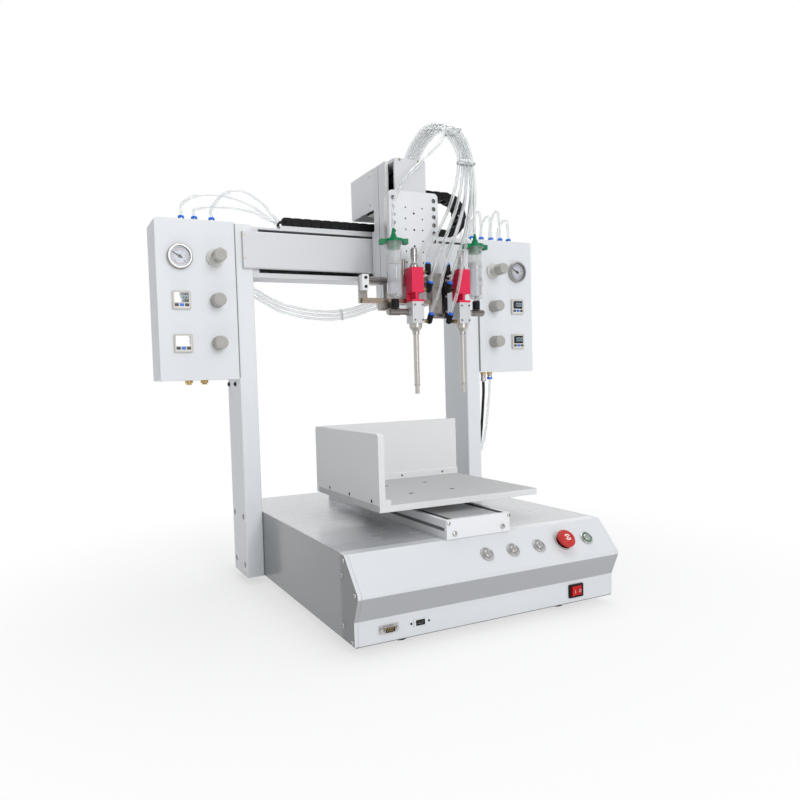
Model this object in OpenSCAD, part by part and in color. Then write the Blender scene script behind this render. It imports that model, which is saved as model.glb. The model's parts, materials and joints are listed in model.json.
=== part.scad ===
// Desktop conformal coating machine: a base cabinet with a moving fixture table, a portal with a
// cross axis and a spray head that carries two valves, and two pneumatic control boxes.
// Millimetres. +X is to the right, +Y to the back and +Z up. The pieces are drawn with the cabinet's
// lower front edge at y = 0 and its underside at z = 0, and seat() brings them to the part's origin,
// which is the middle of the outline on the floor.

/* [Base cabinet] */
// Width of the base cabinet
base_w = 462; // [440:1:500]
// Depth of the base cabinet, from its lower front face to its back
base_d = 545; // [525:1:600]
// Height of the base cabinet without its feet
base_h = 120; // [112:1:140]
// Height of the upright strip below the crease in the front
crease_h = 34; // [32:1:42]
// Height of the rounded nose of the control panel
nose_h = 72; // [66:1:78]
// How far the nose stands forward of the lower front face
nose_out = 16; // [8:1:24]
// How far the panel's top edge lies behind the lower front face
brow_back = 27; // [22:1:34]
// Radius of the bend at the nose
nose_r = 9; // [5:1:12]
// Thickness of the folded sheet metal
sheet_t = 2; // [1.5:0.5:2.5]
// Thickness of the two end caps beside the control panel
cheek_t = 6; // [4:1:10]
// Depth of the two end caps
cheek_d = 40; // [36:1:50]
// Height of the rubber feet
foot_h = 14; // [8:1:25]
// Diameter of the rubber feet
foot_d = 28; // [24:1:40]
// Distance from the machine's middle plane to the centre of a foot
foot_x = 144; // [120:1:180]
// Distance from the cabinet's front or back to the centre of a foot
foot_inset = 35; // [26:1:50]

/* [Controls on the base] */
// Places of the three push buttons across the panel
button_xs = [-9, 38.5, 87.5];
// Place of the start button across the panel
start_x = 183; // [178:1:190]
// Place of the emergency stop across the panel
estop_x = 135; // [130:1:140]
// Diameter of the moving cap of a push button
button_d = 12; // [10:0.5:13]
// Diameter of the bezel of a push button
bezel_d = 22; // [19:0.5:24]
// Diameter of the emergency stop's head
estop_d = 30; // [26:1:34]
// Place of the power switch across the front
rocker_x = 154; // [120:1:180]
// Width of the power switch
rocker_w = 29; // [24:1:32]
// Height of the power switch
rocker_h = 21; // [18:1:24]
// Place of the serial socket across the front
serial_x = -179; // [-190:1:-160]
// Place of the pendant socket across the front
pendant_x = -129; // [-135:1:-115]
// Height of the switch and the sockets above the cabinet's underside
panel_row_z = 17.5; // [16:0.5:18]

/* [Columns and control boxes] */
// Width of a column
column_w = 33; // [28:1:40]
// Depth of a column
column_d = 88; // [80:1:100]
// Distance from the lower front face back to the columns
column_y = 395; // [385:1:410]
// Height of the columns
column_top = 648; // [646:1:650]
// Wall of the columns
column_t = 3; // [2.5:0.5:4]
// Width of a control box
box_w = 141; // [130:1:160]
// Depth of a control box with its back cover
box_d = 82; // [76:1:95]
// Height of a control box
box_h = 282; // [270:1:300]
// Height of the control boxes' upper faces
box_top = 650; // [646:1:651]
// How far the control boxes stand forward of the columns
box_proud = 2; // [0.5:0.5:5]
// Diameter of a pressure gauge
gauge_d = 44; // [40:1:50]
// Width of a digital pressure switch
switch_w = 32; // [28:1:36]
// Diameter of a regulator knob
knob_d = 23.5; // [18:0.5:24]
// Length of a regulator knob
knob_l = 22; // [16:1:26]
// How far the knobs of the upper row are pulled out
knob_out = 16; // [6:1:20]

/* [Cross axis] */
// Height of the beam's underside
beam_z = 553; // [548:1:555]
// Height of the beam
beam_h = 92; // [90:1:94]
// Depth of the beam
beam_d = 75; // [72:1:86]
// Wall of the beam
beam_t = 4; // [3:0.5:5]
// Thickness of the beam's foot
beam_foot = 9; // [7:1:10]
// Height of the two slots beside the beam's front cover
slot_h = 6; // [5.5:0.5:7]
// How far the front cover stands out of the beam
cover_d = 8; // [7:0.5:10]
// How far the front cover laps over each column
cover_lap = 20; // [14:1:24]
// Rest position of the spray head across the machine
head_x = 49; // [30:1:70]
// Diameter of the cross axis's screw
x_screw_d = 12; // [10:1:14]

/* [Table axis] */
// Middle of the table axis across the machine
table_x = -8; // [-20:1:20]
// Width of the table axis's housing
y_housing_w = 115; // [108:1:125]
// Height of the table axis's housing
y_housing_h = 29; // [28:1:30]
// Length of the table axis's housing
y_housing_l = 444; // [440:1:450]
// Front end of the table axis's housing
y_housing_y = 26; // [18:1:30]
// Rest position of the table's middle along the axis
table_y = 203; // [190:1:215]
// Diameter of the table axis's screw
y_screw_d = 8; // [6:0.5:9]

/* [Fixture table] */
// Width of the fixture plate
jig_w = 294; // [270:1:300]
// Depth of the fixture with its back wall
jig_d = 248; // [230:1:260]
// Thickness of the fixture's plates
jig_t = 10; // [8:0.5:11]
// Height of the fixture's walls
jig_wall_h = 118; // [100:1:125]
// Height of the table plate above the housing's cover
table_gap = 3; // [2:0.5:5]

/* [Lift axis] */
// Width of the lift axis's housing
z_housing_w = 80; // [76:1:86]
// Depth of the lift axis's housing
z_housing_d = 50; // [46:1:56]
// Height of the lift axis's lower end
z_housing_z = 496; // [486:1:500]
// Height of the lift axis's upper end
z_top = 766; // [764:1:775]
// Wall of the lift axis's housing
z_wall = 7; // [6:0.5:8]
// Gap between the housing and its front cover, in which the carriage's arms run
z_gap = 20; // [18:0.5:24]
// Thickness of the lift axis's front cover
z_cover_t = 4; // [3:0.5:5]
// Diameter of the lift axis's screw
z_screw_d = 10; // [8:0.5:12]
// Depth of the motor cover behind the lift axis
motor_box_d = 101; // [96:1:110]
// Height of the motor cover
motor_box_h = 79; // [77:1:82]

/* [Spray head] */
// Width of the tool plate
tool_w = 104; // [100:1:112]
// Height of the tool plate
tool_h = 199; // [185:1:205]
// Height of the tool plate's upper edge
tool_top = 704; // [702:1:708]
// Thickness of the tool plate
tool_t = 8; // [6:0.5:9]
// Distance between the two spray valves
valve_pitch = 100; // [96:1:110]
// Rest position of the left valve across the machine
valve_x = 28.5; // [24:0.5:32]
// Distance of the valves' middle from the lower front face
valve_y = 259; // [254:0.5:262]
// Width of a valve's body
valve_w = 24; // [20:0.5:26]
// Diameter of a spray nozzle tube
nozzle_d = 10; // [8:0.5:12]
// Height of the nozzle tips at rest
nozzle_z = 331; // [310:1:345]
// Outer diameter of a syringe
syringe_d = 27; // [24:0.5:27.5]

/* [Drag chain] */
// Pitch of the chain's links
link_pitch = 20; // [18:0.5:22]
// Number of links round the chain's bend
bend_links = 6; // [5:1:7]
// Number of links in the chain's lower run at rest
lower_links = 18; // [16:1:19]
// Number of links in the chain's upper run at rest
upper_links = 5; // [4:1:6]
// Height of a link
link_h = 16; // [14:0.5:17]
// Width of the chain
chain_w = 30; // [26:1:34]
// Middle of the chain's bend across the machine
bend_x = 198; // [192:1:200]

/* [Hidden] */
$fn = 48;
run = 0.3; // running clearance between pieces that slide past each other
fit = 0.1; // radial clearance of a shaft in its bore
seam = 0.2; // joint line between two sheets that lie side by side

// Places that follow from the driving dimensions
half_w = base_w / 2;
column_out = half_w + column_w;
box_out = column_out + box_w;
box_y = column_y - box_proud;
box_back = box_y + box_d;
box_z = box_top - box_h;
knob_x = column_out + 37;
gauge_x = column_out + 100;
rows = [for (k = [0:2]) box_top - 66 - 75.5 * k];
fitting_y = box_back - 29;
fitting_h = 18;
left_hose_xs = [348, 324, 292];
right_hose_xs = [286, 312, 338, 363, 386];
left_back_xs = [300, 312, 324];
back_fitting_z = box_top - 50;

panel_run = brow_back + nose_out;
panel_rise = base_h - nose_h;
panel_a = atan2(panel_rise, panel_run);
panel_mid = [(brow_back - nose_out) / 2, (base_h + nose_h) / 2];

beam_y = column_y + 2;
beam_back = beam_y + beam_d;
beam_top = beam_z + beam_h;
cavity_z = beam_z + beam_foot;
cavity_top = beam_top - beam_t;
cavity_mid = (cavity_z + cavity_top) / 2;
x_cover_y = column_y - cover_d;
x_cover_z = cavity_z + slot_h;
x_cover_top = cavity_top - slot_h;
arm_gap = 1;
arm_t = slot_h - 2 * arm_gap;
rail_w = 15;
rail_h = 10;
rail_off = 22;
x_screw_y = beam_y + 14;
x_motor_w = 42;
x_motor_l = 41;
x_motor_end = half_w - 2;
flange_t = 4;
tray_top = box_top + 2;

y_wall = 6;
y_floor = 5.5;
y_slot = 10;
y_end_t = 6;
y_cover_t = 3;
y_cover_w = y_housing_w - 2 * (y_wall + y_slot);
y_housing_top = base_h + y_housing_h;
y_housing_back = y_housing_y + y_housing_l;
y_motor_w = 35;
y_motor_l = 50;
y_screw_z = base_h + 0.4 + y_motor_w / 2;
y_rail_off = 26;
y_rail_w = 9;
y_rail_h = 6;
table_t = 8;
table_w = 110;
table_l = 120;
table_z = y_housing_top + table_gap;
jig_z = table_z + table_t;
jig_x = -jig_w / 2;
jig_y = table_y - jig_d / 2;

saddle_t = 10;
saddle_gap = 3;
z_back = x_cover_y - saddle_gap - saddle_t;
z_front = z_back - z_housing_d;
z_inner_w = z_housing_w - 2 * z_wall;
z_cap_t = 6;
z_cover_y = z_front - z_gap - z_cover_t;
z_screw_y = z_front + 21;
z_pulley_d = 24;
z_pulley_z = z_top - 24;
z_pulley_h = 13;
z_motor_y = z_back + 51;
z_motor_w = 42;
z_plate_t = 12;
z_plate_y = z_front - z_gap / 2 - z_plate_t / 2;
z_block_h = 60;
z_block_top = tool_top - 8;
motor_box_z = z_top + 1 - motor_box_h;
tool_back = z_cover_y - 2;
tool_y = tool_back - tool_t;
tool_z = tool_top - tool_h;
tool_x = head_x - tool_w / 2;
valve_xs = [valve_x, valve_x + valve_pitch];
valve_sides = [1, -1];
syringe_offs = [41, 33];
function syringe_x(k) = valve_xs[k] - valve_sides[k] * syringe_offs[k];
syringe_z = tool_z - 4;
cap_h = 25;
cap_turns = [-15, 5];
rod_d = 7;
rod_z = tool_z + 33;
rod_y = tool_y - 10;
block_z = tool_z - 8;
block_top = block_z + 61;
inlet_z = block_z - 18;

ear_t = 2.2;
ear_gap = 0.2;
link_pin_d = 5;
chain_y = beam_y + 23;
chain_z = tray_top + run + link_h / 2;
bend_step = 180 / bend_links;
bend_r = link_pitch / (2 * sin(bend_step / 2));
chain_top_z = chain_z + 2 * bend_r;
chain_end_x = bend_x - lower_links * link_pitch;
chain_head_x = bend_x - upper_links * link_pitch;

estop_profile = [
  [0, 7], [estop_d / 2 - 4, 7], [estop_d / 2 - 1, 8], [estop_d / 2, 9.4], [estop_d / 2, 11.6],
  [estop_d / 2 - 1.6, 13.6], [estop_d / 2 - 5, 14.7], [0, 15]
];
// The cabinet's outline seen from the side, and the radii of its corners
cabinet = [[0, 0], [base_d, 0], [base_d, base_h], [brow_back, base_h], [-nose_out, nose_h], [0, crease_h]];
cabinet_r = [0, 0, 4, 5, nose_r, 0];
inlet_proud = 3;
front_reach = max([for (p = estop_profile) p.x * cos(panel_a) + p.y * sin(panel_a)]);
y_first = min(panel_mid.x - front_reach, min([for (p = rounded(cabinet, cabinet_r)) p.x]));
y_last = base_d + inlet_proud;
module seat() translate([0, -(y_first + y_last) / 2, foot_h]) children();

// Outlines
function unit(v) = v / norm(v);
function before(p, i) = p[(i + len(p) - 1) % len(p)];
function after(p, i) = p[(i + 1) % len(p)];
// The outline p, which runs counterclockwise, moved inwards by t
function inset(p, t) = [
  for (i = [0:len(p) - 1])
    let (u = unit(p[i] - before(p, i)), v = unit(after(p, i) - p[i]), n = [-u.y, u.x], m = [-v.y, v.x])
      p[i] + (n + m) * t / (1 + n * m)
];
// An arc of radius r in the corner b between a and c
function corner(a, b, c, r, n = 6) =
  let (
    u = unit(a - b), v = unit(c - b), half = acos(u * v) / 2, m = b + unit(u + v) * r / sin(half),
    p = b + u * r / tan(half) - m, q = b + v * r / tan(half) - m,
    from = atan2(p.y, p.x), turn = atan2(q.y, q.x) - from,
    sweep = turn > 180 ? turn - 360 : turn < -180 ? turn + 360 : turn
  ) [for (k = [0:n]) m + r * [cos(from + sweep * k / n), sin(from + sweep * k / n)]];
function rounded(p, r) = [
  for (i = [0:len(p) - 1]) each (r[i] > 0 ? corner(before(p, i), p[i], after(p, i), r[i]) : [p[i]])
];
function box_outline(w, h) = [[-w / 2, -h / 2], [w / 2, -h / 2], [w / 2, h / 2], [-w / 2, h / 2]];
function soft_box(w, h, r) = rounded(box_outline(w, h), [r, r, r, r]);

// Solids along an axis
module block(x, y, z) translate([x[0], y[0], z[0]]) cube([x[1] - x[0], y[1] - y[0], z[1] - z[0]]);
module along_x(x) translate([x[0], 0, 0]) rotate([90, 0, 90]) linear_extrude(x[1] - x[0]) children();
module along_y(y) translate([0, y[1], 0]) rotate([90, 0, 0]) linear_extrude(y[1] - y[0]) children();
module along_z(z) translate([0, 0, z[0]]) linear_extrude(z[1] - z[0]) children();
module rod_x(d, x, y, z) translate([x[0], y, z]) rotate([0, 90, 0]) cylinder(d = d, h = x[1] - x[0]);
module rod_y(d, x, y, z) translate([x, y[1], z]) rotate([90, 0, 0]) cylinder(d = d, h = y[1] - y[0]);
module rod_z(d, x, y, z) translate([x, y, z[0]]) cylinder(d = d, h = z[1] - z[0]);
module both_sides() {
  children();
  mirror([1, 0, 0]) children();
}
// Local +Z points out of a control box's front, out of the sloping panel or out of the lower front
module on_box(x, z) translate([x, box_y, z]) rotate([90, 0, 0]) children();
module on_panel(x) translate([x, panel_mid.x, panel_mid.y]) rotate([panel_a, 0, 0]) children();
module on_front(x, z) translate([x, 0, z]) rotate([90, 0, 0]) children();

// Base cabinet
module cabinet_face() polygon(rounded(cabinet, cabinet_r));
module cabinet_hollow() {
  p = inset(cabinet, sheet_t);
  open = [for (i = [0:len(p) - 1]) i < 2 ? [p[i].x, -1] : p[i]];
  polygon(rounded(open, [for (r = cabinet_r) r > 0 ? r - sheet_t : 0]));
}

module base_shell() color("#dde1e5") difference() {
  along_x([-half_w + sheet_t, half_w - sheet_t]) cabinet_face();
  along_x([-half_w, half_w]) cabinet_hollow();
  both_sides() block([half_w - cheek_t, half_w], [-nose_out - 1, cheek_d], [-1, base_h + 1]);
  for (x = button_xs) on_panel(x) cylinder(d = button_d + 4, h = 3 * sheet_t, center = true);
  on_panel(start_x) cylinder(d = button_d + 4, h = 3 * sheet_t, center = true);
  on_panel(estop_x) cylinder(d = 22, h = 3 * sheet_t, center = true);
  on_front(rocker_x, panel_row_z) cube([rocker_w - 3, rocker_h - 3, 3 * sheet_t], center = true);
  on_front(serial_x, panel_row_z) cube([18, 9, 3 * sheet_t], center = true);
  on_front(pendant_x, panel_row_z) cube([14, 8, 3 * sheet_t], center = true);
  translate([150, base_d, 45]) cube([27, 3 * sheet_t, 24], center = true);
  for (k = [0:8]) translate([-170 + 14 * k, base_d, 60]) cube([5, 3 * sheet_t, 50], center = true);
}

module side_panels() color("#c9ced4") both_sides() {
  intersection() {
    along_x([half_w - sheet_t, half_w]) cabinet_face();
    block([0, half_w], [cheek_d, base_d], [-1, base_h + 1]);
  }
  intersection() {
    along_x([half_w - cheek_t, half_w]) cabinet_face();
    block([0, half_w], [-nose_out - 1, cheek_d - seam], [-1, base_h + 1]);
  }
}

module bottom_plate() color("#b5bac0") {
  w = half_w - cheek_t;
  block([-w, w], [sheet_t, base_d - sheet_t], [0, sheet_t]);
  both_sides() block([w - 1, half_w - sheet_t], [cheek_d, base_d - sheet_t], [0, sheet_t]);
}

module rubber_feet() color("#1c1d1f")
  both_sides() for (y = [foot_inset, base_d - foot_inset])
    translate([foot_x, y, -foot_h]) rotate_extrude()
      polygon([
        [5, 3], [5, 0], [foot_d / 2 - 4, 0], [foot_d / 2 - 3, 1], [foot_d / 2, foot_h - 2],
        [foot_d / 2, foot_h], [0, foot_h], [0, 3]
      ]);

// Portal and control boxes
module columns() color("#e4e7ea") both_sides() difference() {
  translate([(half_w + column_out) / 2, column_y + column_d / 2, 0])
    along_z([0, column_top]) polygon(soft_box(column_w, column_d, 2.5));
  block([half_w + column_t, column_out - column_t], [column_y + column_t, column_y + column_d - column_t],
        [-1, column_top - column_t]);
  for (y = [column_y + 15, column_y + column_d - 14], z = [22, base_h - 8]) {
    rod_x(12, [column_out - column_t - 1, column_out + 1], y, z);
    rod_x(6.6, [half_w - 1, half_w + column_t + 1], y, z);
  }
}

module control_boxes() color("#e2e5e8") both_sides() difference() {
  translate([(column_out + box_out) / 2, 0, (box_z + box_top) / 2])
    along_y([box_y, box_back - sheet_t]) polygon(soft_box(box_w, box_h, 3));
  block([column_out + sheet_t, box_out - sheet_t], [box_y + sheet_t, box_back],
        [box_z + sheet_t, box_top - sheet_t]);
  on_box(gauge_x, rows[0]) cylinder(d = gauge_d - 8 + 2 * fit, h = 3 * sheet_t, center = true);
  for (k = [1:2]) on_box(gauge_x, rows[k]) cube([switch_w - 3, switch_w - 3, 3 * sheet_t], center = true);
  for (z = rows) on_box(knob_x, z) cylinder(d = 14, h = 3 * sheet_t, center = true);
}

module box_back_covers() color("#d4d8dc") both_sides()
  translate([(column_out + box_out) / 2, 0, (box_z + box_top) / 2])
    along_y([box_back - sheet_t, box_back]) polygon(soft_box(box_w, box_h, 3));

module gauges() color("#c8cccf") both_sides() on_box(gauge_x, rows[0]) {
  r = gauge_d / 2;
  rotate_extrude() polygon([
    [0, -24], [r - 4, -24], [r - 4, 0], [r, 0], [r, 7], [r - 1.5, 8.5], [r - 4, 8.5], [r - 4, 7.1],
    [r - 3.4, 7.1], [r - 3.4, 5.4], [r - 4.5, 5.4], [r - 4.5, 2.5], [0.75, 2.5], [0.75, 4.3], [0, 4.3]
  ]);
  rotate_extrude() polygon([[0, 5.5], [r - 3.5, 5.5], [r - 3.5, 7], [0, 7]]);
}

// A pointer that turns on the gauge's pin, drawn at angle a from straight up, clockwise seen from the front
module needle(side, a) color("#26292c") on_box(side * gauge_x, rows[0]) rotate([0, 0, -a]) difference() {
  r = gauge_d / 2 - 7;
  union() {
    translate([0, 0, 2.8]) cylinder(d = 5, h = 2);
    translate([0, 0, 3.2]) linear_extrude(0.8) polygon([[-1.2, -5], [1.2, -5], [0.4, r], [-0.4, r]]);
  }
  translate([0, 0, 2]) cylinder(r = 0.75 + fit, h = 3);
}

module pressure_switches() color("#dcd6c4") both_sides() for (k = [1:2]) on_box(gauge_x, rows[k]) {
  w = switch_w;
  difference() {
    union() {
      translate([0, 0, -24]) linear_extrude(24) square(w - 3.4, center = true);
      linear_extrude(4) polygon(soft_box(w, w, 2));
    }
    translate([-w / 2 + 3, -1, 3]) cube([w - 6, w / 2 - 2, 2]);
  }
  for (x = [-9, 0, 9]) translate([x - 3.5, -w / 2 + 5, 4]) cube([7, 5, 0.8]);
}

// The upper row's knobs are pulled out to turn, over a wider scalloped collar
function knob_z(row) = 4 + run + (row == 0 ? knob_out : 0);
module regulators() color("#a9adb0") both_sides() for (row = [0:2]) on_box(knob_x, rows[row]) {
  translate([0, 0, -46]) linear_extrude(46 - sheet_t) polygon(soft_box(26, 26, 3));
  translate([0, 0, -sheet_t - 1]) cylinder(d = 13, h = sheet_t + 1.5);
  if (row == 0) {
    linear_extrude(5) difference() {
      circle(d = knob_d + 9);
      for (a = [0:30:330]) rotate(a) translate([knob_d / 2 + 5.2, 0]) circle(d = 3);
    }
    cylinder(d = knob_d - 6, h = knob_out + 3);
  } else
    cylinder(d = knob_d + 1.5, h = 4);
  cylinder(d = 8, h = knob_z(row) + 10);
}

module knob(side, row) color("#b7b2a8") on_box(side * knob_x, rows[row]) translate([0, 0, knob_z(row)])
  difference() {
    rotate_extrude() polygon([
      [4 + fit, 0], [knob_d / 2, 0], [knob_d / 2, knob_l - 2], [knob_d / 2 - 2, knob_l], [0, knob_l],
      [0, 11], [4 + fit, 11]
    ]);
    if (row == 0)
      for (a = [0:60:300]) rotate([0, 0, a]) translate([knob_d / 2 + 3, 0, 3]) cylinder(d = 9, h = knob_l);
    else
      for (a = [0:24:336]) rotate([0, 0, a]) translate([knob_d / 2 + 0.8, 0, 2.5]) cylinder(d = 3, h = knob_l);
  }

// A push-in fitting that stands on z = 0, and the one that looks along +X
module push_fitting(h) rotate_extrude() polygon([
  [0, 0], [6, 0], [6, 4], [5.2, 5], [5.2, h - 5], [6, h - 4], [6, h - 2], [4.6, h], [0, h]
]);
module elbow(d, reach, h) {
  rod_x(d * 0.6, [0, reach], 0, 0);
  translate([reach, 0, 0]) {
    sphere(d = d);
    cylinder(d = d, h = h - 3);
    cylinder(d = d - 2, h = h);
  }
}

module box_fittings() color("#2d6cc0") {
  for (x = left_hose_xs) translate([-x, fitting_y, box_top]) push_fitting(fitting_h);
  for (x = right_hose_xs) translate([x, fitting_y, box_top]) push_fitting(fitting_h);
  for (x = right_hose_xs) translate([x, box_back, back_fitting_z]) rotate([0, 0, 90]) elbow(11, 14, 16);
  for (x = left_back_xs) translate([-x, box_back, back_fitting_z]) rotate([180, 0, 90])
    elbow(9, 14, 14);
  for (x = [289, 306]) translate([x, 418, box_z]) mirror([0, 0, 1]) push_fitting(x < 300 ? 20 : 16);
  for (x = [352, 324]) {
    rod_z(14, -x, 418, [box_z - 5, box_z]);
    rod_z(9, -x, 418, [box_z - 8, box_z]);
  }
}

// Cross axis
module x_beam() color("#d9dde1") {
  difference() {
    block([-half_w, half_w], [beam_y, beam_back], [beam_z, beam_top]);
    block([-half_w - 1, half_w + 1], [beam_y - 1, beam_back - beam_t], [cavity_z, cavity_top]);
    block([-half_w - 1, half_w + 1], [beam_y + 52, beam_back + 1], [beam_z - 1, beam_z + beam_foot / 2]);
    for (z = [beam_z + beam_h / 3, beam_z + beam_h * 2 / 3])
      block([-half_w - 1, half_w + 1], [beam_back - 1.5, beam_back + 1], [z - 3, z + 3]);
  }
  difference() {
    block([-half_w, -half_w + 12], [beam_y, beam_back - beam_t], [cavity_z, cavity_top]);
    rod_x(8 + 2 * fit, [-half_w + 4, -half_w + 13], x_screw_y, cavity_mid);
  }
}

module axis_covers() color("#eceef0") {
  x_end = half_w + cover_lap;
  difference() {
    along_x([-x_end, x_end]) translate([(x_cover_y + column_y) / 2, (x_cover_z + x_cover_top) / 2])
      polygon(rounded(box_outline(cover_d, x_cover_top - x_cover_z), [3, 0, 0, 3]));
    block([-half_w, half_w], [x_cover_y + sheet_t, column_y + 1],
          [x_cover_z + sheet_t, x_cover_top - sheet_t]);
  }
  block([table_x - y_cover_w / 2, table_x + y_cover_w / 2],
        [y_housing_y + y_end_t, y_housing_back - y_end_t], [y_housing_top - y_cover_t, y_housing_top]);
  difference() {
    w = chain_w / 2 + 2;
    block([chain_end_x - 12, half_w - 4], [chain_y - w, chain_y + w], [beam_top, tray_top]);
    block([chain_end_x - 13, half_w], [chain_y - w + 1.5, chain_y + w - 1.5], [beam_top - 1, tray_top - 1.5]);
  }
}

module rail_section(w, h) polygon([
  [-w / 2, 0], [w / 2, 0], [w / 2, h * 0.35], [w / 2 - w * 0.1, h * 0.5], [w / 2, h * 0.65], [w / 2, h],
  [-w / 2, h], [-w / 2, h * 0.65], [-w / 2 + w * 0.1, h * 0.5], [-w / 2, h * 0.35]
]);
// The section standing out of the beam's back wall towards the front, or on the table axis's floor
module x_rail(x, grow) along_x(x) translate([beam_back - beam_t, cavity_mid]) for (s = [-1, 1])
  translate([0, s * rail_off]) rotate(90) rail_section(rail_w + 2 * grow, rail_h + grow);
module y_rail(y, grow) along_y(y) for (s = [-1, 1])
  translate([table_x + s * y_rail_off, base_h + y_floor]) rail_section(y_rail_w + 2 * grow, y_rail_h + grow);

module guide_rails() color("#9aa0a6") {
  x_rail([-half_w + 13, x_motor_end - x_motor_l - flange_t - 1], 0);
  y_rail([y_housing_y + y_end_t + 1, y_housing_back - y_end_t - 1], 0);
}

module motor_outline(w) polygon([
  [-w / 2, -w / 2 + 4], [-w / 2 + 4, -w / 2], [w / 2 - 4, -w / 2], [w / 2, -w / 2 + 4],
  [w / 2, w / 2 - 4], [w / 2 - 4, w / 2], [-w / 2 + 4, w / 2], [-w / 2, w / 2 - 4]
]);

module axis_motors() color("#2b2d30") {
  x0 = x_motor_end - x_motor_l;
  difference() {
    union() {
      block([x0 - flange_t, x0], [beam_y, beam_back - beam_t], [cavity_z, cavity_top]);
      along_x([x0, x_motor_end]) translate([x_screw_y, cavity_mid]) motor_outline(x_motor_w);
    }
    rod_x(8 + 2 * fit, [x0 - flange_t - 1, x0 + 8], x_screw_y, cavity_mid);
  }
  difference() {
    along_y([y_housing_back, y_housing_back + y_motor_l]) translate([table_x, y_screw_z])
      motor_outline(y_motor_w);
    rod_y(6 + 2 * fit, table_x, [y_housing_back - 1, y_housing_back + 8], y_screw_z);
  }
}

module x_screw() color("#8d9399") {
  x0 = x_motor_end - x_motor_l - flange_t;
  rod_x(x_screw_d, [-half_w + 12 + run, x0 - run], x_screw_y, cavity_mid);
  rod_x(8, [-half_w + 4 + run, x0 + 10], x_screw_y, cavity_mid);
}

module x_carriage() color("#aeb4ba") {
  w = 30;
  plate_y = beam_back - beam_t - rail_h - 17;
  difference() {
    union() {
      block([head_x - w, head_x + w], [plate_y - 12, plate_y], [cavity_z + arm_gap, cavity_top - arm_gap]);
      for (s = [-1, 1]) block([head_x - w + 2, head_x + w - 2], [plate_y, beam_back - beam_t - 2],
                              [cavity_mid + s * rail_off - 13, cavity_mid + s * rail_off + 13]);
      block([head_x - 18, head_x + 18], [beam_y, plate_y], [cavity_mid - 15, cavity_mid + 15]);
    }
    x_rail([head_x - w, head_x + w], run);
    rod_x(x_screw_d + 2 * fit, [head_x - w, head_x + w], x_screw_y, cavity_mid);
  }
  for (z = [cavity_z + arm_gap, cavity_top - arm_gap - arm_t])
    block([head_x - w, head_x + w], [z_back + saddle_t - 1, plate_y - 11], [z, z + arm_t]);
  block([head_x - z_housing_w / 2, head_x + z_housing_w / 2], [z_back, z_back + saddle_t],
        [cavity_z - 6, cavity_top + 6]);
}

// Table axis
module y_housing() color("#e6e9ec") {
  w = y_housing_w / 2;
  difference() {
    block([table_x - w, table_x + w], [y_housing_y, y_housing_back], [base_h, y_housing_top]);
    block([table_x - w + y_wall, table_x + w - y_wall], [y_housing_y + y_end_t, y_housing_back - y_end_t],
          [base_h + y_floor, y_housing_top + 1]);
    for (s = [-1, 1]) block([table_x + s * w - 1.5, table_x + s * w + 1.5],
                            [y_housing_y + y_end_t, y_housing_back - y_end_t], [base_h + 12, base_h + 17]);
    rod_y(6 + 2 * fit, table_x, [y_housing_y + 2, y_housing_y + y_end_t + 1], y_screw_z);
    rod_y(6 + 2 * fit, table_x, [y_housing_back - y_end_t - 1, y_housing_back + 1], y_screw_z);
  }
}

module y_screw() color("#8d9399") {
  rod_y(y_screw_d, table_x, [y_housing_y + y_end_t + run, y_housing_back - y_end_t - run], y_screw_z);
  rod_y(6, table_x, [y_housing_y + 2 + run, y_housing_back + 8 - run], y_screw_z);
}

module y_carriage() color("#aeb4ba") {
  inner = y_housing_w / 2 - y_wall - 2;
  l = table_l / 2 - 10;
  difference() {
    union() {
      block([table_x - inner, table_x + inner], [table_y - l, table_y + l],
            [base_h + y_floor + y_rail_h + 1.5, y_housing_top - y_cover_t - 5]);
      for (s = [-1, 1]) block([table_x + s * y_rail_off - 10, table_x + s * y_rail_off + 10],
                              [table_y - l, table_y + l],
                              [base_h + y_floor + 1, base_h + y_floor + y_rail_h + 2]);
      block([table_x - 10, table_x + 10], [table_y - l, table_y + l],
            [y_screw_z - 9, y_housing_top - y_cover_t - 1]);
      for (s = [0, 1]) mirror([s, 0, 0]) translate([s * -2 * table_x, 0, 0])
        block([table_x + inner - y_slot + 4, table_x + inner], [table_y - l, table_y + l],
              [base_h + y_floor + y_rail_h + 1.5, table_z + 1]);
      block([table_x - table_w / 2, table_x + table_w / 2], [table_y - table_l / 2, table_y + table_l / 2],
            [table_z, table_z + table_t]);
    }
    y_rail([table_y - l - 1, table_y + l + 1], run);
    rod_y(y_screw_d + 2 * fit, table_x, [table_y - l - 1, table_y + l + 1], y_screw_z);
  }
}

module jig_plate() color("#c9ccce") difference() {
  block([jig_x, jig_x + jig_w], [jig_y, jig_y + jig_d - jig_t], [jig_z, jig_z + jig_t]);
  for (x = [-40, 40], y = [-45, 45]) translate([table_x + x, table_y + y, jig_z]) {
    translate([0, 0, -1]) cylinder(d = 5.5, h = jig_t + 2);
    translate([0, 0, jig_t - 5]) cylinder(d = 10, h = 6);
  }
}

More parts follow.
